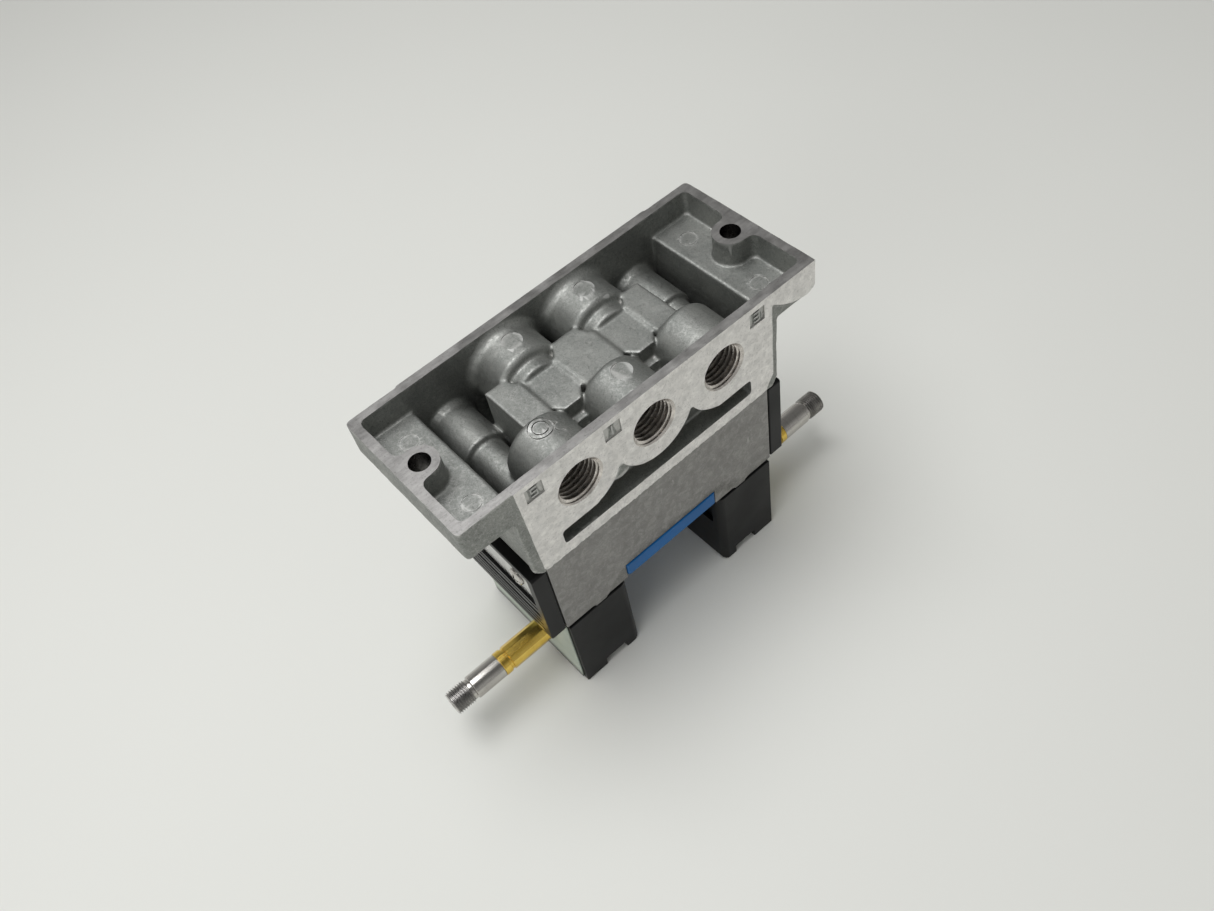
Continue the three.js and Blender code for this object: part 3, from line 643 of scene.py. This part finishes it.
RIM_METAL = machined_metal("machined_rim", (300, 1200, 1200), 0.25, 0.36, 0.02)
FACE_METAL = machined_metal("machined_face", (500, 500, 500), 0.25, 0.78, 0.022)
THREAD_METAL = threaded_metal("port_thread", 0.8, 0.06)
# Painted shade: a very dark finish for the mounting holes' walls, which stand deep in shade.
SHADED_HOLE_METAL = threaded_metal("drilled_hole_painted_shade", 0.1, 0.04)
STEEL_THREAD = threaded_metal("steel_thread", 0.5, 0.03)
BY_SLOT = {
    "cast_aluminium": cast_metal(),
    "body_metal": blasted_body(),
    "black_plastic": plastic("black_plastic", (0.0050, 0.0052, 0.0053), 0.42, 2600),
    "blue_plastic": plastic("blue_plastic", (0.012, 0.125, 0.36), 0.38, 1800),
    "brass": turned_metal("brass", (0.66, 0.43, 0.075), (0.88, 0.63, 0.15), 0.18, 0.6),
    "steel": turned_metal("steel", (0.43, 0.41, 0.39), (0.58, 0.56, 0.53), 0.17, 0.2),
    "bright_plate": turned_metal("bright_plate", (0.50, 0.50, 0.49), (0.6, 0.6, 0.59), 0.26, 0.15, 60),
    "spool_aluminium": turned_metal("spool_aluminium", (0.5, 0.52, 0.54), (0.66, 0.68, 0.69), 0.25),
    "rubber": rubber(),
    "pale_label": label(),
}

# --- sub-base casting


def base_shell():
    """The flange, the box under it, the end trays and the cavity."""
    cast_y = BASE_Y - CAST_BACK
    above = RIM + 1
    inside = (WALL - BASE_Y, BASE_Y - WALL)
    flange = prism("z", rounded((-BASE_X, BASE_X), (-cast_y, cast_y), 1.2), (RIM - FLANGE, above))
    low_corner = 2.6
    half = [(0, JOINT_FACE - 1), (BOX_X - low_corner, JOINT_FACE - 1), (BOX_X - low_corner, JOINT_FACE),
            (BOX_X - 0.5, JOINT_FACE + low_corner), (BOX_X, RIM - FLANGE), (BOX_X, RIM - 1), (0, RIM - 1)]
    outline = half + [(-x, z) for x, z in reversed(half) if x]
    middle = prism("y", outline, (-cast_y, cast_y))
    pad = [(-39.7, RIM + 1), (-38.6, JOINT_FACE + 2), (-38.2, JOINT_FACE - 1), (36, JOINT_FACE - 1),
           (37.2, JOINT_FACE + 2.6), (39.4, JOINT_FACE + 5.8), (39.7, RIM + 1)]
    flange_pad = [(39, RIM + 1), (39, 94), (41, 92.7), (43.9, 90.4), (46.9, 88.8), (50, 87.9), (52.5, 87.6),
                  (BASE_X + 0.5, 88.9), (BASE_X + 0.5, RIM + 1)]
    front = (-BASE_Y - 1, -BASE_Y + 3)
    back = (BASE_Y - 3, BASE_Y + 1)
    corner = prism("z", rounded((-BASE_X, BASE_X), (-BASE_Y - 4, BASE_Y + 4), 1.2), (RIM - 20, above + 1))
    pads = [prism("y", pad, front), common(prism("y", flange_pad, front), corner), prism("y", pad, back)]
    shell = join(flange, middle, *pads)
    trays = prism("z", rounded((WALL - BASE_X, BASE_X - WALL), inside, 1.6), (RIM - TRAY, above + 1))
    cavity = block((-CAVITY_X, CAVITY_X), inside, (JOINT_FACE + FLOOR, above + 1))
    pillar = 2.2
    recesses = []
    for _, side in SIDES:
        ends = sorted((side * (BOX_X - 1), side * (BASE_X + 1)))
        recesses.append(block(ends, (pillar - BASE_Y, BASE_Y - pillar), (JOINT_FACE - 2, RIM - FLANGE)))
    for sign in (-1, 1):
        slope = [(BODY_Y - 0.6, JOINT_FACE - 2), (BODY_Y - 0.6, JOINT_FACE - 1.46), (BASE_Y + 2, 66.9),
                 (BASE_Y + 2, JOINT_FACE - 2)]
        recesses.append(prism("x", [(sign * y, z) for y, z in slope], (-BASE_X, BASE_X)))
    return cut(shell, trays, cavity, *recesses)


def port_housings():
    """The cast housings of the ports and ducts inside the cavity."""
    floor = JOINT_FACE + 1
    back_wall = BASE_Y - 1.5
    parts = []
    for x in FRONT_PORTS:
        parts.append(turned("y", ((-back_wall, 9.7), (-8.2, 9.7), (-7.3, 9.3), (-7, 8.6)), (x, PORT_Z)))
    for x in BACK_PORTS:
        parts.append(turned("y", ((5, 7.6), (5.4, 8), (8.6, 8), (9, 9.6), (10, 10.4), (18.4, 10.4),
                                  (19.6, 11), (20.2, 11.9), (back_wall, 11.9)), (x, PORT_Z)))
    parts.append(prism("z", [(-6.2, -8), (6.2, -8), (6.2, 5.6), (3.4, 9.9), (-3.4, 9.9), (-6.2, 5.6)],
                       (floor, DUCT_TOP)))
    for _, side in reversed(SIDES):
        outline = [(24.8, -8), (24.8, 9.6), (19.2, 9.6), (16.7, 5.6), (16.7, -8)]
        parts.append(prism("z", [(side * x, y) for x, y in outline], (floor, DUCT_TOP)))
    for x in BACK_PORTS:
        hexagon = [(5.6, -4.6), (5.6, 6), (-5.6, 6), (-5.6, -4.6), (-2.4, -8.4), (2.4, -8.4)]
        parts.append(prism("z", [(x + u, v) for u, v in hexagon], (floor, DUCT_TOP - 0.55)))
    parts.append(block((-24.8, 24.8), (-10.4, 6), (floor, PORT_Z + 1.6)))
    for x in (-PILOT_X, PILOT_X):
        parts.append(turned("y", ((5, 5.8), (5.6, 6.6), (18.6, 6.6), (19.6, 7.2), (back_wall, 7.8)),
                            (x, PILOT_Z)))
        parts.append(rod("y", 5.2, (-back_wall, 6), (x, PILOT_Z)))
        parts.append(block((x - 3, x + 3), (12, back_wall), (floor, PILOT_Z)))
    parts.append(block((-23.1, 23.1), (-back_wall, -10), (floor, 83)))
    parts.append(block((-34, 34), (-back_wall, -12), (floor, 76)))
    parts.extend(rod("z", 4.6, (floor, 74), place) for place in corners_of(*BODY_SCREW))
    return parts


def mounting_ears():
    """The ears round the mounting holes, with necks that flare into the end walls."""
    flare, steps = 2.2, 6
    ends = (RIM - FLANGE + 0.5, RIM + 1)
    half = [(EAR_X, EAR_RADIUS)]
    for step in range(steps + 1):
        angle = step / steps * math.pi / 2
        half.append((BASE_X - WALL - flare + flare * math.sin(angle),
                     EAR_RADIUS + flare - flare * math.cos(angle)))
    half.append((BASE_X - 1.2, EAR_RADIUS + flare))
    neck = [(x, -y) for x, y in half] + half[::-1]
    parts = []
    for _, side in SIDES:
        parts.append(rod("z", EAR_RADIUS, ends, (side * EAR_X, 0)))
        parts.append(prism("z", [(side * x, y) for x, y in neck], ends))
    return parts


def window():
    """The core-out under the front ports, whose upper edge follows the port housings."""
    ends = (-BASE_Y - 3, -17.5)
    band = prism("y", rounded((-31.5, 31.5), (67.6, 72.7), 0.8), ends)
    cusps = prism("y", [(-20, 68.5), (20, 68.5), (20, 80), (-20, 80)], ends)
    housings = [rod("y", 12.05, (ends[0] - 1, ends[1] + 1), (x, PORT_Z), 96) for x in FRONT_PORTS]
    return cut(join(band, cusps), *housings)


def digit(value, middle):
    """A port number in plain strokes, standing up from the front face, about a middle in X and Z."""
    wide, tall, stroke = 0.95, 1.55, 0.42
    across, left, right = (-wide, wide), (-wide, stroke - wide), (wide - stroke, wide)
    centre = (-stroke / 2, stroke / 2)
    bars = [(across, (tall - stroke, tall)), (across, centre), (across, (-tall, stroke - tall))]
    strokes = {
        "1": [(centre, (-tall, tall))],
        "3": bars + [(right, (0, tall)), (right, (-tall, 0))],
        "5": bars + [(left, (0, tall)), (right, (-tall, 0))],
    }[value]
    made = []
    for i, ((x0, x1), (z0, z1)) in enumerate(strokes):
        grow = 0.003 * i  # so that no two strokes share a face
        made.append(block((middle[0] + x0 - grow, middle[0] + x1 + grow),
                          (-BASE_Y + 0.12 + grow, -BASE_Y + 1.2 + grow),
                          (middle[1] + z0 - grow, middle[1] + z1 + grow)))
    return join(*made) if len(made) > 1 else made[0]


def port_tools():
    """Everything that is drilled, tapped and milled into the casting."""
    tools = []
    for number, (x, y, radius) in enumerate(DUCTS):
        inward = 1 if number % 2 == 0 else -1
        port_x = FRONT_PORTS[number // 2] if inward > 0 else BACK_PORTS[number // 2]
        face = -inward * BASE_Y
        end = face + inward * PORT_DEPTH
        ends = sorted((face - inward, end))
        thread = helical("y", THREAD_PITCH, THREAD_MINOR, THREAD_MAJOR, ends, (port_x, PORT_Z))
        wide = block((port_x - 8, port_x + 8), ends, (PORT_Z - 8, PORT_Z + 8))
        mouth = turned("y", [(face - inward, THREAD_MAJOR + 1.4), (face, THREAD_MAJOR + 0.12),
                             (face + inward * 0.9, THREAD_MINOR)], (port_x, PORT_Z))
        drill = turned("y", [(end - inward * 2, THREAD_MINOR), (end + inward, THREAD_MINOR),
                             (end + inward * 2.4, 2.5)], (port_x, PORT_Z))
        across = rod("y", radius, sorted((end - inward, y + inward * radius / 2)), (x, PORT_Z))
        down = rod("z", radius, (JOINT_FACE - 3, PORT_Z + radius / 2), (x, y))
        tools.append(join(common(thread, wide), mouth, drill, across, down))
    for x in (-PILOT_X, PILOT_X):
        pilot = helical("y", *PILOT_THREAD, (13.5, BASE_Y + 1), (x, PILOT_Z), 40)
        tools.append(join(
            common(pilot, block((x - 6, x + 6), (13.2, BASE_Y + 1), (PILOT_Z - 6, PILOT_Z + 6))),
            turned("y", [(BASE_Y - 0.8, PILOT_THREAD[1]), (BASE_Y + 0.05, 5.0), (BASE_Y + 1, 5.9)],
                   (x, PILOT_Z)),
            rod("z", PILOT_DUCT[1], (JOINT_FACE - 3, PILOT_Z), (x, PILOT_DUCT[0]))))
    for x in (-EAR_X, EAR_X):
        tools.append(rod("z", HOLE_RADIUS, (RIM - FLANGE - 2, RIM + 2), (x, 0)))
    tools.extend(rod("z", 2.65, (JOINT_FACE - 3, 72.5), place, 32) for place in corners_of(*BODY_SCREW))
    return tools


def face_tools():
    """The planes that the casting is milled to."""
    far = BASE_X + 5
    return [
        block((-far, far), (-far, far), (RIM, RIM + 5)),
        block((-far, far), (-far, far), (JOINT_FACE - 5, JOINT_FACE)),
        block((-far, far), (-BASE_Y - 5, -BASE_Y), (0, RIM + 9)),
        block((-far, far), (BASE_Y, BASE_Y + 5), (0, RIM + 8)),
    ]


def thin_ring(radius, ends, middle, width):
    profile = ((ends[0], radius - width), (ends[1], radius - width), (ends[1], radius), (ends[0], radius))
    return turned("z", profile, middle, closed=True)


def ejector_marks():
    """Flat discs that the ejector pins leave on the housings, and rings on the tray floors."""
    pins = [(-11, 15, PORT_Z + 10.4), (12.3, 15, PORT_Z + 10.4), (1, -12, PORT_Z + 9.7)]
    raised, tools = [], []
    for x, y, crown in pins:
        level = crown - 0.22
        raised.append(rod("z", 2.75, (level - 3, level), (x, y)))
        tools.append(rod("z", 2.76, (level, level + 3), (x, y)))
    floor = RIM - TRAY
    for x, y in ((45.6, 12.6), (45.8, -12.8), (-45.6, -12.4), (-45.6, 12.8)):
        tools.append(thin_ring(2.5, (floor - 0.14, floor + 1), (x, y), 0.16))
    crown = PORT_Z + 9.7
    for radius in (3.2, 2.1):
        tools.append(thin_ring(radius, (crown - 0.85, crown + 1), (-23.1, -10.9), 0.3))
    tools.append(thin_ring(1.7, (crown - 0.95, crown + 1), (-19.2, -13.4), 0.25))
    return raised, tools


def paint_casting(obj):
    """Machined planes and threads get their own finishes, by where each face lies."""
    skin, rim, milled, threaded, drilled = range(5)
    ports = [(x, -1) for x in FRONT_PORTS] + [(x, 1) for x in BACK_PORTS]
    for face in obj.data.polygons:
        middle, normal = face.center, face.normal
        if normal.z > 0.98 and abs(middle.z - RIM) < 0.02:
            face.material_index = rim
        elif abs(normal.y) > 0.98 and abs(abs(middle.y) - BASE_Y) < 0.02:
            face.material_index = milled
        elif any(side * middle.y > 9 and math.hypot(middle.x - x, middle.z - PORT_Z) < THREAD_MAJOR + 0.2
                 for x, side in ports):
            face.material_index = threaded
        elif abs(middle.y) > 12 and math.hypot(abs(middle.x) - PILOT_X, middle.z - PILOT_Z) < 5.1:
            face.material_index = threaded
        # The mounting holes' walls get the very dark finish, which is painted shade.
        elif math.hypot(abs(middle.x) - EAR_X, middle.y) < HOLE_RADIUS + 0.05 and abs(normal.z) < 0.5:
            face.material_index = drilled
        elif middle.y < 3 - BASE_Y and math.dist((middle.x, middle.z), WINDOW_PAD) < PAD_RADIUS + 0.02:
            face.material_index = milled if normal.y > -0.9 else skin


def make_casting():
    voxel = 0.38
    casting = join(base_shell(), *port_housings(), *mounting_ears())
    casting = cut(casting, window())
    casting = cast(casting, voxel, 7, 160000)
    raised, marks = ejector_marks()
    square = [(-34.9, "5"), (-11.8, "1"), (34.8, "3")]
    recesses = [block((x - 2.5, x + 2.5), (-BASE_Y - 1, -BASE_Y + 0.4), (90.7, 95.3)) for x, _ in square]
    digits = [digit(value, (x, 93)) for x, value in square]
    pad = turned("y", ((-BASE_Y + 1.5, PAD_RADIUS - 0.3), (-BASE_Y + 1.8, PAD_RADIUS), (-17, PAD_RADIUS)),
                 WINDOW_PAD)
    casting = join(casting, pad, *raised)
    casting = cut(casting, *face_tools(), *port_tools(), *marks, *recesses)
    casting = join(casting, *digits)
    dressed(casting, (BY_SLOT["cast_aluminium"], RIM_METAL, FACE_METAL, THREAD_METAL, SHADED_HOLE_METAL))
    paint_casting(casting)
    stand_in(casting, "sub_base", angle=40, painted=True, ending="_casting")


# --- valve body and cover


def make_body():
    low, lip, seat = 32.3, 31.85, 38.0
    half = [(BODY_X, BODY_TOP, 0.25), (BODY_X, low, 0.5), (29.2, low, 0.3), (28.4, lip, 0.3),
            (23.8, lip, 0.3), (23.0, low, 0.3), (16.45, low, 0.3), (16.45, seat, 0)]
    outline = filleted(half + [(-x, z, r) for x, z, r in reversed(half)], 3)
    body = moulded("y", outline, (-BODY_Y, BODY_Y), 0.2)
    for ends in ((-BODY_Y + 0.02, -BODY_Y + 0.35), (BODY_Y - 0.35, BODY_Y - 0.02)):
        skirts = [prism("y", [(x - 2.6, 33), (x - 1.9, 31.42), (x + 1.7, 31.42), (x + 2.6, 33)], ends)
                  for x in (-26.1, 26.1)]
        body = join(body, *skirts)
    bore, groove, cylinder = 7.5, 9.3, 12
    tools = [rod("x", bore, (-40, 40), (0, SPOOL_Z))]
    tools += [rod("x", groove, (x - 2, x + 2), (0, SPOOL_Z)) for x, _, _ in DUCTS]
    tools += [rod("x", cylinder, ends, (0, SPOOL_Z)) for ends in ((29, 40), (-40, -29))]
    tools += [rod("z", radius, (SPOOL_Z, BODY_TOP + 1), (x, y)) for x, y, radius in DUCTS]
    for x in (-PILOT_X, PILOT_X):
        tools.append(rod("z", PILOT_DUCT[1], (low - 1, BODY_TOP + 1), (x, PILOT_DUCT[0]), 24))
    for x, y in corners_of(*BODY_SCREW):
        tools.append(join(rod("z", 2.75, (seat - 1, BODY_TOP + 1), (x, y), 32),
                          rod("z", 4.6, (low, seat + 5.4), (x, y), 48)))
    for x, y in corners_of(*HEAD_SCREW):
        tools.append(rod("z", 1.6, (low - 1, 40.5), (x, y), 24))
    for ends in ((-40, -30.5), (30.5, 40)):
        tools += [rod("x", 1.6, ends, place, 24) for place in CAP_SCREWS]
    stand_in(cut(body, *tools), "valve_body")


def make_cover():
    (bottom, top), half = span("blue_cover", "z"), span("blue_cover", "y")[1]
    reach = span("blue_cover", "x")[1]
    plate = moulded("z", rounded((-reach, reach), (-half, half), 0.8), (bottom, top), 0.3)
    holes = [turned("z", ((bottom - 1, 5.9), (bottom + 0.4, 4.5), (top + 1, 4.5)), middle, 48)
             for middle in corners_of(*BODY_SCREW)]
    stand_in(cut(plate, *holes), "blue_cover")


def socket_screw(radius, head, tall, ends, middle):
    """A socket-head screw along Z, head down, with a chamfered head and a pointed socket."""
    low, high = ends
    screw = turned("z", ((low, head - 0.35), (low + 0.3, head), (low + tall - 0.15, head),
                         (low + tall, head - 0.15), (low + tall, radius), (high - 0.6, radius),
                         (high, radius - 0.6)), middle, 48)
    socket = turned("z", ((low - 1, head * 0.56), (low + tall * 0.55, head * 0.56),
                          (low + tall * 0.75, 0.2)), middle, 6)
    return cut(screw, socket)


def make_body_screws():
    for i, (x, y) in enumerate(corners_of(*BODY_SCREW)):
        node = f"body_screw_{i + 1}"
        place = [sum(span(node, axis)) / 2 for axis in "xy"]
        stand_in(socket_screw(2.5, 4.25, 5, span(node, "z"), place), node)


# --- spool and pistons


def torus(axis, along, radius, section, middle):
    profile = [(along + a, radius + b) for a, b in circle(section, count=16)]
    return turned(axis, profile, middle, 64, closed=True)


def make_spool():
    land, neck, groove = 7.35, 4.5, 5.5
    corner = land - 0.2
    middle = (0, SPOOL_Z)
    inner, between, outer = [[(seal - 1, land), (seal - 1, groove), (seal + 1, groove), (seal + 1, land)]
                             for seal in SEALS_X[3:]]
    half = inner + [(3.4, land), (3.6, corner), (3.6, neck + 0.6), (4.2, neck), (15.6, neck),
                    (16.2, neck + 0.6), (16.2, corner), (16.4, land)]
    half += between + [(20.2, land), (20.4, corner), (20.4, neck), (23.2, neck), (23.2, corner),
                       (23.4, land)]
    half += outer + [(30.4, land), (30.6, corner), (30.6, 3), (36.7, 3), (37, 2.7)]
    profile = [(-x, r) for x, r in reversed(half)] + half
    stand_in(turned("x", [(x + SPOOL_REST, r) for x, r in profile], middle), "spool")
    for i, x in enumerate(SEALS_X):
        stand_in(torus("x", x + SPOOL_REST, 6.55, 0.9, middle), f"spool_seal_{i + 1}")
    for name, side in SIDES:
        shift = side * SPOOL_REST
        disc = [(31.4, 3.2), (31.4, 11.3), (31.7, 11.6), (32.3, 11.6), (32.3, 9.7), (34.7, 9.7),
                (34.7, 11.6), (35.3, 11.6), (35.6, 11.3), (35.6, 3.2)]
        ring = [(32.5, 9.9), (32.5, 11.7), (32.65, 11.85), (34.35, 11.85), (34.5, 11.7), (34.5, 9.9)]
        for node, profile in (("piston", disc), ("piston_seal", ring)):
            piece = turned("x", [(x + shift, r) for x, r in profile], middle, closed=True)
            stand_in(piece, f"{node}_{name}", side)


# --- end caps


def make_end_cap(name, side):
    outline = rounded((-BODY_Y, BODY_Y), (CAP_BOTTOM, CAP_TOP), 0.8)
    cap = moulded("x", outline, (CAP_START, CAP_END), 0.35)
    grooves = [((47.6, 60), 0.8, 1.6), ((41.8, 43.4), 0.4, 0.8)]
    grooves += [((z, z + 0.7), 0.3, 0.35) for z in (34.8, 37.2, 39.6, 45.4)]
    tools = []
    for ends, corner, depth in grooves:
        tools.append(prism("x", rounded((-19.6, 19.6), ends, corner), (CAP_END - depth, CAP_END + 1)))
    tools.append(rod("x", 7, (CAP_START - 1, CAP_START + 1.4), (0, SPOOL_Z)))
    tools += [rod("x", 1.8, (CAP_START - 1, CAP_END), place, 32) for place in CAP_SCREWS]
    stand_in(cut(cap, *tools), f"end_cap_{name}", side)

    start, end = 41.6, 42.4
    plate = moulded("x", rounded((-19.3, 19.3), (47.9, 59.7), 0.6), (start, end), 0.12)
    holes = [rod("x", 1.8, (40, 45), place, 32) for place in CAP_SCREWS]
    stand_in(cut(plate, *holes), f"cap_plate_{name}", side)
    for i, (y, z) in enumerate(reversed(CAP_SCREWS)):
        screw = turned("x", ((31, 1.1), (31.4, 1.5), (end + 0.02, 1.5), (end + 0.02, 2.5), (end + 0.12, 2.6),
                             (end + 0.5, 2.5), (end + 0.85, 2.05), (end + 1.05, 1.2), (end + 1.1, 0.3)),
                       (y, z), 48)
        slots = [block((end + 0.45, 45), (y - a, y + a), (z - b, z + b)) for a, b in ((1.6, 0.3), (0.3, 1.6))]
        stand_in(cut(screw, join(*slots)), f"cap_screw_{name}_{i + 1}", side)


# --- pilot heads


def make_pilot_head(name, side):
    outline = filleted([(HEAD_INNER, 0, HEAD_ROUND), (22.4, 0, 0.3), (22.4, 3, 0.3), (30, 3, 0.3),
                        (30, 0, 0.3), (HEAD_OUTER, 0, 0.3), (HEAD_OUTER, HEAD_TOP, 0.5),
                        (HEAD_INNER, HEAD_TOP, 0.4)])

    def round_inner_edge(ring, depth):
        left = HEAD_ROUND - min(depth, HEAD_ROUND)
        reach = HEAD_INNER + HEAD_ROUND - math.sqrt(HEAD_ROUND ** 2 - left ** 2)
        return [(max(x, reach + 0.0005 * z), z) for x, z in ring]

    head = moulded("y", outline, (-HEAD_Y, HEAD_Y), 0.25, shaped=round_inner_edge)
    tools = [
        prism("x", rounded((-19, 19), (18.4, 29), 1), (HEAD_INNER - 1, HEAD_INNER + 1.4)),
        rod("x", 3.8, (29.4, 40), TUBE), rod("x", 3.1, (25.2, 30.4), TUBE),
        rod("x", 0.8, (HEAD_INNER + 3, 25.4), TUBE, 24),
        rod("z", 0.8, (TUBE[1], HEAD_TOP + 1), (HEAD_INNER + 4, TUBE[0]), 24),
        rod("z", PILOT_DUCT[1], (20, HEAD_TOP + 1), (PILOT_X, PILOT_DUCT[0]), 24),
        rod("z", 2.65, (0, 15.4), OVERRIDE), rod("z", 1.5, (14.4, 18.8), OVERRIDE, 24),
    ]
    for y in (-HEAD_SCREW[1], HEAD_SCREW[1]):
        tools.append(join(rod("z", 3.1, (-1, 27.6), (HEAD_SCREW[0], y)),
                          rod("z", 1.7, (20, HEAD_TOP + 1), (HEAD_SCREW[0], y), 24)))
    stand_in(cut(head, *tools), f"pilot_head_{name}", side)
    for i, y in enumerate((HEAD_SCREW[1], -HEAD_SCREW[1])):
        node = f"head_screw_{name}_{i + 1}"
        screw = socket_screw(1.5, 2.75, 3, span(node, "z"), (HEAD_SCREW[0], y))
        stand_in(screw, node, side)

    (bottom, top), half = span(f"label_plate_{name}", "z"), span(f"label_plate_{name}", "y")[1]
    start, end = span("label_plate_right", "x")
    plate = moulded("x", rounded((-half, half), (bottom, top), 0.6), (start, end), 0.08)
    stand_in(cut(plate, rod("x", 4.15, (36, 40), TUBE)), f"label_plate_{name}", side)


def make_armature(name, side):
    seat = turned("x", ((25.4, 2.8), (25.6, 3), (28.3, 3), (28.4, 2.9), (28.4, 1.4), (29.4, 1)), TUBE)
    stand_in(cut(seat, rod("x", 0.6, (20, 30), TUBE, 24)), f"pilot_seat_{name}", side)

    flats, points = 12, 96
    rings = []
    for along, radius in ((TUBE_ROOT, 3.55), (TUBE_ROOT + 0.1, 3.65), (52.45, 3.65), (52.6, 3.3), (53.2, 3.3),
                          (53.3, 3.5), (53.4, 3.65), (TUBE_END - 0.12, 3.65), (TUBE_END, 3.55)):
        ring = []
        for i in range(points):
            angle = 2 * math.pi * i / points
            away = angle % (2 * math.pi / flats) - math.pi / flats
            reach = min(radius, 3.55 / math.cos(away)) if along < 52.5 else radius
            ring.append((along, TUBE[0] + reach * math.cos(angle), TUBE[1] + reach * math.sin(angle)))
        rings.append(ring)
    guide = cut(loft(rings), rod("x", 2.95, (30, 60), TUBE))
    stand_in(guide, f"guide_tube_{name}", side, 12)

    start = TUBE_END + 0.1
    stop = turned("x", ((CORE_FACE, 2.7), (CORE_FACE + 0.2, 2.9), (start, 2.9), (start, 3.45),
                        (start + 0.1, 3.55), (64.9, 3.55), (65.1, 3.4), (65.3, 3.08), (TIP - 0.3, 3.08),
                        (TIP - 0.02, 2.8)), TUBE, 96)
    thread_start = 66
    thread = helical("x", 0.72, 3.02, 3.55, (thread_start, TIP), TUBE, 64, side)
    envelope = turned("x", ((66.1, 3.06), (66.5, 3.56), (TIP - 0.45, 3.56), (TIP, 3.1)), TUBE, 96)
    hole = turned("x", ((TIP - 2, 1.5), (TIP - 0.3, 1.5), (TIP + 0.5, 2.3)), TUBE, 48)
    stop = cut(join(stop, common(thread, envelope)), hole)
    dressed(stop, (BY_SLOT["steel"], STEEL_THREAD))
    for face in stop.data.polygons:
        face.material_index = int(thread_start < face.center.x < TIP - 0.05)
    stand_in(stop, f"core_stop_{name}", side, 30, painted=True)

    rear = 48.7
    plunger = turned("x", ((30, 2.6), (30.15, 2.75), (rear - 0.25, 2.75), (rear, 2.5)), TUBE)
    plunger = cut(plunger, rod("x", 2, (29, 31.6), TUBE, 48), rod("x", 1.8, (41, 50), TUBE, 48))
    stand_in(plunger, f"plunger_{name}", side)
    disc = turned("x", ((29.45, 1.75), (29.6, 1.9), (31.5, 1.9)), TUBE, 48)
    stand_in(disc, f"plunger_seal_{name}", side)
    ends = span("plunger_spring_right", "x")
    spring = stand_in(coil("x", 1.35, 0.5, ends, TUBE, 7), f"plunger_spring_{name}", side)
    follow(spring)


def make_override(name, side):
    button = turned("z", ((1.2, 2.25), (1.45, 2.5), (5.9, 2.5), (6, 2.4), (6, 1.75), (7.6, 1.75), (7.6, 2.4),
                          (7.7, 2.5), (8.8, 2.5), (9, 2.3), (9, 1.2), (16.3, 1.2), (16.6, 0.9)), OVERRIDE)
    x, y = OVERRIDE
    slot = block((x - 3, x + 3), (y - 0.4, y + 0.4), (0, 1.9))
    stand_in(cut(button, slot), f"override_button_{name}", side)
    stand_in(torus("z", 6.8, 2.15, 0.4, OVERRIDE), f"override_seal_{name}", side)
    ends = span("override_spring_right", "z")
    spring = stand_in(coil("z", 1.85, 0.5, ends, OVERRIDE, 5), f"override_spring_{name}", side)
    follow(spring)


make_casting()
make_body()
make_cover()
make_body_screws()
make_spool()
for side_name, side_sign in SIDES:
    make_end_cap(side_name, side_sign)
    make_pilot_head(side_name, side_sign)
    make_armature(side_name, side_sign)
    make_override(side_name, side_sign)

# --- CAD nodes that stay

for node, obj in frame["nodes"].items():
    dressed(obj, [BY_SLOT[SLOT_OF[node]]])

# --- camera, floor and light

AZIMUTH, ELEVATION, ROLL = (math.radians(a) for a in (-30.386, 52.328, -13.523))
CAMERA_PLACE = Vector((-92.320, -155.308, 285.133)) * MM
SENSOR = 36.0
FOCAL_SHARE = 0.89818  # the lens's focal length over the image's width
CLEAR_OF_FLOOR = 0.2 * MM


def make_camera():
    back = Vector((math.sin(AZIMUTH) * math.cos(ELEVATION), -math.cos(AZIMUTH) * math.cos(ELEVATION),
                   math.sin(ELEVATION)))
    right = (-back).cross(Vector((0, 0, 1))).normalized()
    up = right.cross(-back)
    turned_right = math.cos(ROLL) * right + math.sin(ROLL) * up
    turned_up = -math.sin(ROLL) * right + math.cos(ROLL) * up
    data = bpy.data.cameras.new("camera")
    data.sensor_width, data.lens = SENSOR, SENSOR * FOCAL_SHARE
    data.clip_start, data.clip_end = 0.01, 10
    camera = added("camera", data)
    camera.matrix_world = Matrix.Translation(CAMERA_PLACE) @ Matrix(
        (turned_right, turned_up, back)).transposed().to_4x4()
    bpy.context.scene.camera = camera


def make_floor():
    floor = solid([(x, y, 0) for x, y in corners_of(5, 5)], [(0, 2, 3, 1)])
    floor.name = "floor"
    n = Nodes("floor")
    cloud = n.noise(6, 2, 0.5)
    base = n.mix(cloud, (0.76, 0.765, 0.73, 1), (0.79, 0.795, 0.76, 1))
    n.set(Base_Color=base, Roughness=0.7, Normal=n.bump(n.noise(1200, 2), 0.04, 0.0001))
    floor.data.materials.append(n.data)
    floor.location.z = -CLEAR_OF_FLOOR


def area_light(name, place, aim, size, power):
    data = bpy.data.lights.new(name, "AREA")
    data.shape, data.size, data.size_y = "RECTANGLE", size[0], size[1]
    data.energy = power
    light = added(name, data)
    light.location = place
    light.rotation_euler = (Vector(aim) - Vector(place)).to_track_quat("-Z", "Y").to_euler()


def make_light():
    n = Nodes("world", bpy.data.worlds, "Background", "Generated")
    n.set(Color=(1.0, 1.0, 0.975, 1), Strength=n.ramp(n.height(), 0.25, 0.85, 0.44, 0.16))
    bpy.context.scene.world = n.data
    area_light("softbox_top", (-0.12, 0.1, 0.8), (0, 0, 0.05), (0.6, 0.5), 4.9)
    area_light("softbox_left", (-0.8, -0.35, 0.45), (0, 0, 0.05), (0.5, 0.4), 1.3)


make_camera()
make_floor()
make_light()
bpy.context.scene.view_settings.view_transform = "Standard"
